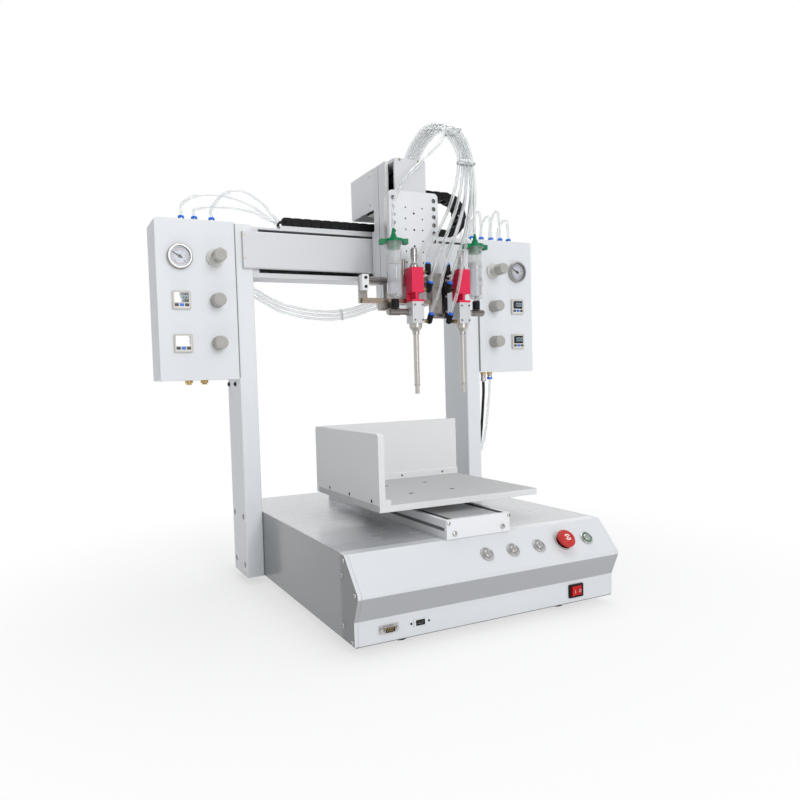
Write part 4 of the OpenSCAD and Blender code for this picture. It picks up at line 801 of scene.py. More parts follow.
class COATING_OT_stage(Maker, bpy.types.Operator):
    """Floor, soft light and the camera"""

    bl_idname = "coating.stage"
    bl_label = "Stage"

    def make(self, scene):
        settings = scene.coating_stage
        self.camera(scene, settings)
        self.floor(scene, settings)
        self.world(scene, settings)
        # The fill is a leaning strip, which the left switches' windows mirror
        self.light(scene, "key", (0.1, -3.0, 1.7), (0.0, 0.0, 0.45), (1.5, 1.5), 0.0, settings.key)
        self.light(scene, "fill", (0.07, -2.6, 0.754), (-0.3, 0.1, 0.4), (0.22, 0.46), 0.183, settings.fill)
        self.light(scene, "top", (0.3, 0.5, 2.6), (0.0, 0.0, 0.3), (1.8, 1.8), 0.0, settings.top)
        scene.view_settings.view_transform = "Standard"

    @staticmethod
    def camera(scene, settings):
        """The photo's camera, as fitted to the machine's straight edges."""
        yaw, pitch, roll = (math.radians(a) for a in (24.66, 2.856, -1.81))
        ahead = Vector((math.sin(yaw) * math.cos(pitch), math.cos(yaw) * math.cos(pitch), -math.sin(pitch)))
        level = Vector((math.cos(yaw), -math.sin(yaw), 0))
        upright = level.cross(ahead)
        right = level * math.cos(roll) + upright * math.sin(roll)
        up = upright * math.cos(roll) - level * math.sin(roll)
        lens = bpy.data.cameras.new("camera")
        lens.sensor_width = 36
        lens.lens = settings.lens
        lens.shift_x = 0.0623
        lens.shift_y = 0.0187
        lens.clip_start, lens.clip_end = 0.05, 30
        scene.camera = bpy.data.objects.new("camera", lens)
        scene.collection.objects.link(scene.camera)
        scene.camera.matrix_world = axes(at(-599.3, -811.2, 357.7), right, up, -ahead)

    @staticmethod
    def floor(scene, settings):
        """The floor fades into the white backdrop, and keeps the machine's shadow."""
        far = 12.0
        mesh = bpy.data.meshes.new("floor")
        mesh.from_pydata([(-far, -far, 0), (far, -far, 0), (far, far, 0), (-far, far, 0)], [], [(0, 1, 2, 3)])
        f = Finish("floor_pale", Roughness=0.9, Specular_IOR_Level=0.1)
        f.set("Base Color", f.mix(f.noise(2, 2), shade(settings.floor, 0.99), settings.floor))
        away = f.node("ShaderNodeVectorMath", {"operation": "LENGTH"}, f.place(), out=1)
        glow = f.node("ShaderNodeEmission", None, (1, 1, 1), 1.0)
        mixed = f.node("ShaderNodeMixShader", None, shown(f) * (0.6 + 0.4 * f.steps(away, 0.4, 0.95)),
                       Value(f, f.shader.outputs[0]), glow)
        f.fill(f.tree.nodes["Material Output"].inputs["Surface"], mixed)
        mesh.materials.append(f.material)
        floor = bpy.data.objects.new("floor", mesh)
        scene.collection.objects.link(floor)

    @staticmethod
    def world(scene, settings):
        """A soft room, brighter above, on the right and in front, before a white backdrop."""
        scene.world = bpy.data.worlds.new("studio")
        scene.world.use_nodes = True
        studio = Graph(scene.world.node_tree)
        way = studio.node("ShaderNodeTexCoord", out="Generated")
        side, back, up = (studio.node("ShaderNodeSeparateXYZ", None, way, out=k) for k in range(3))
        room = settings.world * studio.steps(up, -0.15, 0.45, 0.4, 1.0)
        room *= studio.steps(side, -0.8, 0.35, 0.6, 1.0)
        room *= studio.steps(back, -0.7, 0.7, 1.2, 0.8)
        soft = studio.node("ShaderNodeBackground", None, (0.97, 0.985, 1.0), room)
        # Metal mirrors the white backdrop, and the dim room in front of it
        mirrored = studio.node("ShaderNodeLightPath", out="Is Glossy Ray")
        dim = mirrored * studio.steps(back, -0.75, 0.1, 0.6, 0.0)
        white = studio.node("ShaderNodeBackground", None, (1, 1, 1), 1.0 - dim)
        chosen = studio.node("ShaderNodeMixShader", None, shown(studio), soft, white)
        studio.fill(studio.tree.nodes["World Output"].inputs["Surface"], chosen)

    @staticmethod
    def light(scene, name, place, aim, size, lean, watts):
        """A soft rectangle of light at a place, turned to its aim and about its own axis."""
        light = bpy.data.lights.new(name, "AREA")
        light.shape = "RECTANGLE"
        light.size, light.size_y = size
        light.energy = watts
        lamp = bpy.data.objects.new(name, light)
        lamp.matrix_world = facing(place, Vector(place) - Vector(aim)) @ Matrix.Rotation(lean, 4, "Z")
        scene.collection.objects.link(lamp)


# Places and routes, as in the construction
LIFT_X, TABLE_X, SHELF_Z = 49, -8, 731.8
KNOB_X, GAUGE_X, BOX_FRONT, ROWS = 301, 364, 393, (584, 508.5, 433)
STOP_X, SOCKET_Z = 135, 17.5
BUTTONS = {"push_button_1": -9, "push_button_2": 38.5, "push_button_3": 87.5, "start_button": 183}
HOSE_Z = 668.6
LEFT_HOSES = (
    ((-348, 446, HOSE_Z), (-344, 446, 690), (-318, 444, 705), (-272, 440, 708), (-226, 434, 696),
     (-193, 430, 675), (-173, 428, 660.3)),
    ((-324, 446, HOSE_Z), (-323, 446.5, 680), (-292, 455, 689), (-250, 445, 688), (-215, 427, 677.5),
     (-190, 420.5, 666), (-173, 420, 660.3)),
    ((-292, 446, HOSE_Z), (-290.5, 445, 686), (-270, 429, 709), (-238, 421, 714), (-205, 414, 695),
     (-186, 412, 673), (-173, 412, 660.3)),
)
RIGHT_LOOPS = tuple(
    ((x, 446, HOSE_Z), (x, 447, HOSE_Z + 24), (x + 3, 456, peak - 4), (x + 4, 472, peak - 3),
     (x + 2, 487, HOSE_Z + 24), (x, 489, 640), (x, 489, 616.6))
    for x, peak in zip((286, 312, 338, 363, 386), (716, 728, 720, 732, 715))
)
OUTLET_LEADS = (
    ((289, 418, 347.4), (290, 421, 310), (289, 436, 210), (286, 466, 130), (277, 496, 80), (258, 505, 63),
     (241, 506, 62)),
    ((306, 418, 351.4), (306.5, 423, 310), (304, 442, 215), (298, 482, 146), (282, 514, 104), (260, 520, 91),
     (241, 520, 90)),
)
CLAMP_TOP = 752.074
FRONT_ROW = ((106, 418, CLAMP_TOP), (106, 418, 766), (108, 408, 793), (113, 375, 828), (122, 335, 846),
             (135, 300, 838), (146, 276, 805), (151, 264, 760))
REAR_ROW = ((106, 410, CLAMP_TOP), (106, 410, 766), (108, 401, 788), (113, 371, 820), (122, 335, 837),
            (135, 305, 829), (146, 283, 800), (151, 272, 760))
VALVES = ((28.5, 1), (128.5, -1))
VALVE_Y, BLOCK_TOP, SYRINGE_Z = 259, 558, 501
SYRINGE_X = (-12.5, 161.5)
# How far the elbows sit under the valve block's top, and how far they lean forward in degrees
ELBOWS = ((6, 0), (38, 30), (95, 30))


def elbow_way(row):
    """The direction that the outlet of a row's elbows looks in."""
    lean = math.radians(ELBOWS[row][1])
    return Vector((0, -math.sin(lean), math.cos(lean)))


def outlet(valve, row, far=17.6):
    """A point over an elbow's outlet."""
    x, side = VALVES[valve]
    return Vector((x + side * 29, VALVE_Y, BLOCK_TOP - ELBOWS[row][0])) + elbow_way(row) * far


def cap_top(valve):
    return (SYRINGE_X[valve], VALVE_Y, SYRINGE_Z + 126.6)


def in_lane(row, lane, count):
    return [(x + (-12, -4, 4, 12)[lane], y, z) for x, y, z in row[:count]]


HEAD_LINES = (
    [*in_lane(FRONT_ROW, 0, 6), (113, 281, 814), (88, 266, 784), (52, 261, 752), (14, 260, 714),
     (-8, 260, 676), (-12.5, 259, 646), cap_top(0)],
    [*in_lane(FRONT_ROW, 1, 8), (136, 250, 690), (108, 242, 620), (80, 236, 560), (63, 233, 512),
     (57.5, 242, 492), outlet(0, 2)],
    [*in_lane(FRONT_ROW, 2, 8), (150, 250, 690), (134, 242, 620), (116, 236, 560), (103, 234, 512),
     (99.5, 242, 492), outlet(1, 2)],
    [*in_lane(FRONT_ROW, 3, 8), (165, 261, 705), (161.5, 259, 658), cap_top(1)],
    [*in_lane(REAR_ROW, 0, 8), (118, 266, 690), (84, 261, 630), (60, 259, 595), outlet(0, 0)],
    [*in_lane(REAR_ROW, 1, 8), (130, 262, 690), (98, 254, 625), (68, 244, 572), (57.5, 243, 548),
     outlet(0, 1)],
    [*in_lane(REAR_ROW, 2, 8), (146, 266, 690), (124, 262, 630), (102, 259, 595), outlet(1, 0)],
    [*in_lane(REAR_ROW, 3, 8), (156, 262, 690), (136, 254, 625), (110, 244, 572), (99.5, 243, 548),
     outlet(1, 1)],
)
LOWER_LINES = tuple(
    ((-x, 489, 585.4), (-x, 489, 573.4 - 9 * k), (-262 - 4 * k, 496, 560 - 9 * k), (-212, 484, 548 - 8 * k),
     (-160, 463, 516 - 8 * k), (-104, 444 + k, 500 - 7.5 * k), (-56, 424 + k, 496 - 7.2 * k),
     (-22, 402 + k, 502 - 7.2 * k), (2, 384 + k / 2, 512 - 7.4 * k), (22.9, 378.5, 516.5 - 7.5 * k))
    for k, x in enumerate((300, 312, 324))
)


def route(points, n):
    """A smooth line through the points, with n steps between two of them."""
    p = [Vector(q) for q in points]
    line = []
    for i in range(len(p) - 1):
        a, b, c, d = p[max(i - 1, 0)], p[i], p[i + 1], p[min(i + 2, len(p) - 1)]
        for k in range(n):
            t = k / n
            line.append(0.5 * (2 * b + (c - a) * t + (2 * a - 5 * b + 4 * c - d) * t * t
                               + (3 * b - a - 3 * c + d) * t ** 3))
    return [*line, p[-1]]


class COATING_OT_hoses(Maker, bpy.types.Operator):
    """Air and fluid hoses with their ties"""

    bl_idname = "coating.hoses"
    bl_label = "Hoses"

    def make(self, scene):
        width = scene.coating_sizes.hose / MM
        lift = ("x_carriage", "z_tool", at(0, 370, 0), at(0, 268, 0))
        cross = ("frame", "x_carriage", at(-312, 0, 0), at(22, 0, 0))
        for k, points in enumerate((*LEFT_HOSES, *RIGHT_LOOPS)):
            self.hose(f"box_hose_{k + 1}", points, width, "hose", "box_hoses")
        self.hose("signal_cable", OUTLET_LEADS[0], width, "rubber", "box_hoses")
        self.hose("drain_hose", OUTLET_LEADS[1], width, "hose", "box_hoses")
        for k, points in enumerate(HEAD_LINES):
            self.hose(f"head_hose_{k + 1}", points, width, "hose", "head_hoses", lift)
        for k, points in enumerate(LOWER_LINES):
            self.hose(f"lower_hose_{k + 1}", points, width, "hose", "head_hoses", cross)
        self.tie("hose_tie_top", HEAD_LINES, 5.4, width, lift)
        self.tie("hose_tie_front", HEAD_LINES[1:], 7, width, lift)
        self.tie("hose_tie_low", LOWER_LINES, 6.2, width, cross)

    @staticmethod
    def hose(name, points, width, finish, node, body=None):
        line = route(points, max(2, round(36 / (len(points) - 1))))
        size = sum((b - a).length for a, b in zip(line, line[1:])) * MM
        bore = 0 if finish == "rubber" else width / 2 - 1
        piece = Shape().tube(finish, line, width / 2, bore).place(name, node, body, True, 60)
        path = [at(*p) for p in line]
        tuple(path[0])

    @staticmethod
    def tie(name, lines, place, width, body):
        """A flat band round the hoses, at a place counted in route points, with its lock in front."""
        step = 8
        here = round(place * step)
        ends = [route(p, step)[here:here + 2] for p in lines]
        spots = [end[0] for end in ends]
        ahead = sum((b - a for a, b in ends), Vector()).normalized()
        middle = sum(spots, Vector()) / len(spots)
        across = (spots[-1] - spots[0]) if len(lines) < 4 else Vector((1, 0, 0))
        across = (across - ahead * across.dot(ahead)).normalized()
        over = ahead.cross(across)
        reach = [max(abs((s - middle).dot(way)) for s in spots) + width / 2 for way in (across, over)]
        where = axes(middle, across, over, ahead)
        inner, outer = (box_outline(2 * (reach[0] + gap), 2 * (reach[1] + gap), width / 2 + gap, 6)
                        for gap in (0.2, 1.2))
        shape = Shape().band("tie", outer, inner, (-1.8, 1.8), where)
        shape.prism("tie", box_outline(5.5, 4.5, 0.8), (-2.6, 2.6), where @ moved(0, reach[1] + 1.2), 0.3)
        shape.place(name, "head_hoses", body)


def shaded_front_band(middle, normal):
    """The grey band across the cabinet's front is the face that leans inwards. Its darker grey is partly the
    band's own paint and partly painted shade of the undercut.
    """
    return normal.y < -0.8 and -0.55 < normal.z < -0.2 and 33 < middle.z < 76


class COATING_OT_cabinet(Maker, bpy.types.Operator):
    """Base cabinet with its side sheets, end caps, bottom and feet"""

    bl_idname = "coating.cabinet"
    bl_label = "Base cabinet"

    def make(self, scene):
        dressed("base_shell", "front", "band", "top", faces=self.fold)
        dressed("side_panels", "panel", "cheek", "front", "band", faces=self.cap,
                solids=lambda middle, size: int(middle.y < 40))
        coat("bottom_plate", "zinc")
        # A dark strip along the cabinet's lower front edge: painted shade under the edge
        Shape().block("seam", (-229, 229), (0.8, 2.6), (-1.5, 0.2), 0.2).place("bottom_edge", "base_shell")
        dressed("rubber_feet", "rubber")
        coat("electronics", "zinc")
        spots = both_sides(231, ((28, 112), (34, 91), (-7, 73), (34, 20), (6, 5)))
        fasteners("cheek_screws", "pan", 3.2, "steel", "side_panels", spots, 1)
        spots = crossings(BACK, (-222, 0, 222), (545,), (8, 112)) + both_sides(231, ((300, 8), (530, 8)))
        fasteners("sheet_screws", "pan", 2.6, "steel", "side_panels", spots, 2)

    @staticmethod
    def cap(middle, normal):
        """The rims of the end caps have the colours of the front, with the painted shade that the front and
        the band carry.
        """
        if middle.y > 44 or abs(normal.x) > 0.9:
            return None
        return 3 if shaded_front_band(middle, normal) else 2

    @staticmethod
    def fold(middle, normal):
        # The top sheet gets its finish; the band gets its darker grey, partly painted shade of the undercut
        if normal.z > 0.95 and middle.z > 119:
            return 2
        return 1 if shaded_front_band(middle, normal) else None


class COATING_OT_controls(Maker, bpy.types.Operator):
    """Buttons, emergency stop, power switch and sockets on the base"""

    bl_idname = "coating.controls"
    bl_label = "Controls"

    def make(self, scene):
        dressed("panel_bezels", "chrome", "black", "nickel", edge=0.0003, solids=self.bezel)
        for node in BUTTONS:
            dressed(node, "chrome", edge=0.0003)
        dressed("estop_stem", "black", edge=0)
        dressed("estop_head", "red", edge=0)
        dressed("rocker_key", "lamp", edge=0.0003)
        dressed("sockets", "chrome", "front", "steel", edge=0.0002, solids=self.socket)
        for k, (node, x) in enumerate(BUTTONS.items()):
            self.button(node, k + 1, sloping(x), "green_ring" if node == "start_button" else "grey_ring")
        self.marks()
        self.pins()

    @staticmethod
    def bezel(middle, size):
        if middle.z < 40:
            return 1
        return 2 if 130 < middle.x < 140 else 0

    @staticmethod
    def socket(middle, size):
        if middle.x > 200:
            return 2
        return 0 if middle.x < -150 else 1

    @staticmethod
    def button(node, number, where, glow):
        """The light ring round a button's cap and the cap's dished face."""
        rim = [(6.7, 2.3), (8.3, 2.3), (8.3, 2.65), (7.9, 2.85), (7.1, 2.85), (6.7, 2.65)]
        shape = Shape().lathe(glow, rim, where)
        rim = [(8.6, 2.2), (9.9, 2.2), (9.9, 2.5), (9.5, 2.8), (9.0, 2.8), (8.6, 2.6)]
        shape.lathe("chrome", rim, where).place(f"button_ring_{number}", "panel_bezels")
        dish = [(0, 3.9), (4.6, 3.9), (4.6, 4.3), (4.2, 4.45), (3.6, 4.2), (0, 4.1)]
        cap = Shape().lathe("chrome", dish, where).lathe("grey_ring", washer(1.9, 2.7, 4.0, 4.3), where)
        cap.place(f"button_cap_{number}", node)

    @staticmethod
    def marks():
        """The pale turning arrows on the emergency stop, and the I and O on the power switch."""
        stop = sloping(STOP_X)
        low, high = 14.9, 15.16
        shape = Shape()
        for turn in (0, 180):
            bow = [turn + 20 + 110 * k / 12 for k in range(13)]
            head, tip = [turn + 130], [turn + 158]
            outline = polar(5.2, bow) + polar(6.3, head) + polar(4.4, tip) + polar(2.4, head)
            outline += polar(3.5, bow[::-1])
            shape.prism("white", outline, (low, high), stop)
        shape.lathe("white", washer(0, 1.5, low, high), stop)
        for r in (7.4, 10.6):
            rib = [(r, 14.4), (r + 1, 14.4), (r + 0.9, 14.95), (r + 0.5, 15.15), (r + 0.1, 14.95)]
            shape.lathe("red", rib, stop, 64)
        shape.place("stop_marks", "estop_head")
        key = forward(154, -2.55, SOCKET_Z) @ Matrix.Rotation(math.radians(7), 4, "Y")
        shape = Shape().prism("dull", box_outline(1.2, 4.6, 0.3), (2.1, 2.7), key @ moved(-5.5, 0))
        shape.lathe("dull", washer(1.6, 2.5, 2.1, 2.7), key @ moved(5.5, 0), 32)
        shape.place("switch_marks", "rocker_key")

    @staticmethod
    def pins():
        """Contacts of the sockets and of the power inlet."""
        serial = forward(-179, 0, SOCKET_Z)
        shape = Shape().prism("black", box_outline(13.4, 5.8, 1), (0.8, 4.2), serial, 0.2)
        for k in range(9):
            spot = ((k - 2) * 2.75, 1.4) if k < 5 else ((k - 6.5) * 2.75, -1.4)
            shape.lathe("brass", washer(0.35, 0.85, 3.6, 4.45), serial @ moved(*spot), 16)
        pendant = forward(-129, 0, SOCKET_Z)
        shape.prism("black", box_outline(8.6, 1.6), (-5.5, -0.6), pendant, 0.1)
        shape.band("black", box_outline(14.4, 7.9, 0.8), box_outline(10.8, 4.2, 0.8), (0.2, 1.3), pendant)
        for k in range(5):
            shape.block("brass", (-132.2 + 1.6 * k, -131.4 + 1.6 * k), (0.3, 4), (18.3, 18.55), 0.05)
        inlet = axes((150, 545, 45), (-1, 0, 0), (0, 0, 1), (0, 1, 0))
        for spot in ((-7, -2.5), (7, -2.5), (0, 3.5)):
            shape.prism("brass", box_outline(1.8, 4.5, 0.3), (-13.8, -2), inlet @ moved(*spot), 0.2)
        shape.place("socket_contacts", "sockets")
        spots = crossings(FRONT, (-143.3, -114.7), (0,), (SOCKET_Z,))
        fasteners("socket_screws", "pan", 1.6, "dark", "sockets", spots, 3)


class COATING_OT_portal(Maker, bpy.types.Operator):
    """Columns, cross beam, covers, rails, screws and carriage"""

    bl_idname = "coating.portal"
    bl_label = "Portal"

    def make(self, scene):
        dressed("columns", "paint")
        dressed("x_beam", "cover")
        dressed("axis_covers", "cover", "strip", solids=lambda middle, size: int(middle.z < 200))
        dressed("guide_rails", "rail", edge=0.0003)
        dressed("axis_motors", "motor", "milled", solids=lambda middle, size: int(size.x < 5))
        for axis in "xyz":
            dressed(f"{axis}_screw", f"thread_{axis}", edge=0)
        dressed("x_carriage", "anodised")
        spots = crossings(FRONT, (-248, 248), (387,), (627, 585))
        fasteners("cover_screws", "sunk", 2.4, "screw_brass", "axis_covers", spots, 4)
        bolts = both_sides(264, ((427, 359), (472, 359)))
        fasteners("box_bolts", "cap", 3.2, "dark", "columns", bolts, 5)
        spots = both_sides(234, ((410, 22), (410, 112), (469, 22), (469, 112)))
        fasteners("column_bolts", "cap", 4.4, "steel", "columns", spots, 6)
        spots = crossings(BACK, (-216, 216), (472,), (556, 632))
        fasteners("beam_bolts", "cap", 3, "steel", "x_beam", spots, 7)
        # Dark rings round the box bolts: painted shadow of their counterbores
        bolt_shadows = Shape()
        for spot, aim in bolts:
            bolt_shadows.lathe("dark", [(3.4, 0), (5, 0), (5, 0.35), (3.4, 0.6)], facing(spot, aim), 32)
        bolt_shadows.place("bolt_washers", "columns")
        # Dark strips in the gaps between the boxes and the columns: painted shadow of the gaps
        gap_shadows = Shape()
        for x in ((-265, -263.4), (263.4, 265)):
            gap_shadows.block("seam", x, (392.75, 394.2), (371, 647), 0.1)
        gap_shadows.place("box_gaskets", "columns")


# A figure's bars and posts: middle, width and height. A 0 leaves the second one dark
SEGMENTS = ((0, 3.6, 2.6, 0.7), (0, 0, 2.6, 0.7), (0, -3.6, 2.6, 0.7), (-1.7, 1.8, 0.7, 2.8),
            (1.7, 1.8, 0.7, 2.8), (-1.7, -1.8, 0.7, 2.8), (1.7, -1.8, 0.7, 2.8))


class COATING_OT_boxes(Maker, bpy.types.Operator):
    """Control boxes with their gauges, pressure switches, regulators and fittings"""

    bl_idname = "coating.boxes"
    bl_label = "Control boxes"

    def make(self, scene):
        dressed("control_boxes", "box")
        dressed("box_back_covers", "box")
        dressed("gauges", "bezel", "glass", "dial", edge=0, solids=lambda middle, size: int(size.y < 3),
                faces=self.dial)
        dressed("pressure_switches", "switch", "key_grey", "key_blue", edge=0.0003, faces=self.key)
        dressed("regulators", "beige", "zinc", "brass", "pale", edge=0.0003, faces=self.regulator)
        dressed("box_fittings", "black", "blue", "nickel", "brass", edge=0, faces=self.fitting)
        for side, name in ((-1, "left"), (1, "right")):
            for row, z in zip(("top", "mid", "low"), ROWS):
                dressed(f"knob_{name}_{row}", "beige", edge=0.0004)
                self.knob_face(f"{name}_{row}", side * KNOB_X, z, row == "top")
            dressed(f"needle_{name}", "dark", edge=0)
            self.gauge(name, side * GAUGE_X, scene.coating_sizes.ticks)
            for row in (1, 2):
                self.screen(f"{name}_{row}", forward(side * GAUGE_X, BOX_FRONT, ROWS[row]))
            labels = Shape()
            for z in ROWS:
                for x in (KNOB_X, GAUGE_X):
                    labels.prism("label", box_outline(34, 14, 0.8), (-0.05, 0.25),
                                 forward(side * x, BOX_FRONT, z + 32.5), 0.06)
            labels.place(f"bare_labels_{name}", "control_boxes")
            spots = crossings(BACK, (side * 271.5, side * 397.5), (475,), (376, 509, 642))
            fasteners(f"box_screws_{name}", "pan", 2.6, "steel", "box_back_covers", spots, 8)

    @staticmethod
    def dial(middle, normal):
        far = math.hypot(abs(middle.x) - GAUGE_X, middle.z - ROWS[0])
        return 2 if normal.y < -0.9 and far < 18 and 390 < middle.y < 391 else None

    @staticmethod
    def key(middle, normal):
        """The middle one of the three soft keys is blue."""
        if middle.y > 388.95:
            return 0
        return 2 if abs(abs(middle.x) - GAUGE_X) < 3.8 else 1

    @staticmethod
    def regulator(middle, normal):
        if middle.y > 394:
            return 1
        return 3 if middle.z > 550 else 0

    @staticmethod
    def fitting(middle, normal):
        """Brass threads, nickel bodies, blue release rings and black elbows at the back."""
        x, y, z = middle
        if y < 460:
            if z > 600:
                return 3 if z < 656 else 2 if z < 663 else 1
            if x > 0:
                return 3 if z > 363 else 2 if x < 297 or z > 357 else 1
            return 3
        if abs(y - 489) < 6.5 and (z > 612 or z < 590.5):
            return 1
        return 2 if y < 482 else 0

    @staticmethod
    def knob_face(name, x, z, pale):
        """Rings and a boss on a knob's face, the rings darker with painted shade in their grooves. The knob
        on the pale collar is longer.
        """
        front = forward(x, BOX_FRONT - (42.2 if pale else 26.2), z)
        shape = Shape()
        for r in (3.2, 5.6) if pale else (3.4, 6.0, 8.4):
            shape.lathe("groove", [(r, -0.2), (r + 0.7, -0.2), (r + 0.5, 0.15), (r + 0.2, 0.15)], front)
        shape.lathe("beige", [(0, -0.2), (1.6, -0.2), (1.4, 0.35), (0, 0.45)], front, 32)
        shape.place(f"knob_face_{name}", f"knob_{name}")

    @staticmethod
    def gauge(name, x, ticks):
        """Ticks, numbers and pin of a gauge's dial."""
        face = forward(x, 390.5, ROWS[0])
        ring(f"gauge_ticks_{name}", (1.9, 0.3, 0.08), face, "dark", "gauges", Count=ticks + 1, Radius=0.0155,
             Start=math.radians(225), Sweep=math.radians(-270), Every=5, Long=1.9)
        shape = Shape()
        for k, spot in enumerate(polar(10.2, range(225, -99, -54))):
            written = bpy.data.curves.new("number", "FONT")
            written.body = str(2 * k)
            written.size = 3.4
            written.extrude = 0.03
            written.align_x = written.align_y = "CENTER"
            flat = altered(written)
            shape.add("dark", [v.co for v in flat.vertices], [f.vertices for f in flat.polygons],
                      face @ moved(*spot, 0.05))
        shape.lathe("red_mark", washer(12.3, 12.8, 0.01, 0.06), face, 96)
        shape.place(f"gauge_numbers_{name}", "gauges")
        pin = [(0, 4.5), (1.1, 4.5), (1.1, 4.95), (0.8, 5.15), (0, 5.2)]
        hub = Shape().lathe("brass", pin, forward(x, BOX_FRONT, ROWS[0]), 24)
        hub.place(f"gauge_hub_{name}", f"needle_{name}")

    @staticmethod
    def screen(name, face):
        """Window and figures of a pressure switch: a blank, 0, a point, 0 and 0."""
        shape = Shape()
        shape.prism("switch_face", box_outline(27.6, 27.6, 2.4), (3.9, 4.15), face, 0.1)
        shape.prism("window", box_outline(24.6, 16.8, 1.0), (4.0, 4.4), face @ moved(0, 4.3), 0.1)
        thick = (0, 0.07)
        for k in range(4):
            corner = face @ moved(-8.7 + 5.8 * k, 4.6, 4.38)
            for n, (x, y, w, h) in enumerate(SEGMENTS):
                shape.prism("digit" if k and n != 1 else "digit_off", box_outline(w, h, 0.25, 2), thick,
                            corner @ moved(x, y))
            if k == 1:
                shape.prism("digit", box_outline(0.8, 0.8, 0.3, 2), thick, corner @ moved(2.9, -3.6))
        shape.lathe("digit", washer(0, 0.7, 4.3, 4.45), face @ moved(-10.4, 11), 16)
        shape.place(f"switch_screen_{name}", "pressure_switches")


class COATING_OT_table(Maker, bpy.types.Operator):
    """Table axis and the fixture on it"""

    bl_idname = "coating.table"
    bl_label = "Table and fixture"

    def make(self, scene):
        dressed("y_housing", "anodised", "seam", faces=self.slot)
        dressed("y_carriage", "milled")
        dressed("jig_plate", "fixture", "fixture_edge", edge=0.0005, faces=self.edge)
        dressed("jig_walls", "wall", "fixture_edge", "anodised", edge=0.0005, faces=self.edge,
                solids=lambda middle, size: 0 if size.z > 50 else 2)
        spots = [((-61, 26, 144), FRONT), ((47.5, 26, 145), FRONT)]
        spots += crossings(BACK, (-60, 44), (470,), (144,))
        fasteners("housing_screws", "pan", 2.9, "nickel", "y_housing", spots, 9)
        spots = [((-51, 26, 127.8), FRONT), ((35.5, 26, 128.8), FRONT)]
        fasteners("housing_bolts", "pan", 4.1, "nickel", "y_housing", spots, 19)
        spots = crossings(LEFT, (-144.5,), (106, 187, 268), (174.3,))
        fasteners("fixture_side_screws", "cap", 2.6, "dark", "jig_walls", spots, 10)
        spots = crossings(UP, (TABLE_X - 40, TABLE_X + 40), (158, 248), (165.3,))
        fasteners("fixture_sunk_screws", "cap", 4.1, "dark", "jig_plate", spots, 11)
        spots = crossings(FRONT, (-90, 22, 112), (314,), (175.5,))
        fasteners("strip_screws", "pan", 1.8, "dark", "jig_walls", spots, 12)

    @staticmethod
    def slot(middle, normal):
        """The long slots in the housing's sides get a dark grey: painted shade in the slots."""
        return 1 if 131.5 < middle.z < 137.5 and 50 < abs(middle.x - TABLE_X) < 57.4 else None

    @staticmethod
    def edge(middle, normal):
        """The tops of the walls and the plate's front face are brighter than the rest."""
        return 1 if middle.z > 277.4 or (middle.y < 80 and normal.y < -0.9) else None


class COATING_OT_lift(Maker, bpy.types.Operator):
    """Lift axis with its covers and motor"""

    bl_idname = "coating.lift"
    bl_label = "Lift axis"

    def make(self, scene):
        dressed("z_housing", "anodised", "dark", faces=self.inside)
        dressed("z_cover", "cover")
        dressed("z_motor", "motor", "milled", "black", edge=0.0004, solids=self.belt, faces=self.shelf)
        dressed("motor_cover", "hood")
        dressed("z_carriage", "milled")
        spots = crossings(FRONT, (LIFT_X - 22, LIFT_X + 18), (300,), (499, 763))
        fasteners("lift_cover_screws", "sunk", 2.6, "screw_brass", "z_cover", spots, 13)
        spots = both_sides(40, ((389, 700), (389, 755)), LIFT_X)
        fasteners("motor_cover_screws", "pan", 2.2, "steel", "motor_cover", spots, 14)
        # Thin dark strips along the housing's sides: painted shade in its grooves
        seam = Shape()
        for x in ((LIFT_X - 40.06, LIFT_X - 40), (LIFT_X + 40, LIFT_X + 40.06)):
            seam.block("dark", x, (352, 353), (497, 765), 0)
        seam.place("housing_groove", "z_housing")

    @staticmethod
    def inside(middle, normal):
        """The hollow between the housing's walls, with the rail's cover band, gets the dark finish: painted
        shade in the hollow.
        """
        x, y, z = middle
        return 1 if abs(x - LIFT_X) < 32.9 and 300 < y < 366.5 and 503 < z < 759 else None

    @staticmethod
    def belt(middle, size):
        return 2 if size.z < 12 and size.y > 40 else 0

    @staticmethod
    def shelf(middle, normal):
        """The motor's shelf, shaft and pulley are bare metal. The belt runs between them."""
        up = middle.z - SHELF_Z
        return 1 if up > 0 and abs(middle.x - LIFT_X) < 31 and not 12.5 < up < 20 else None


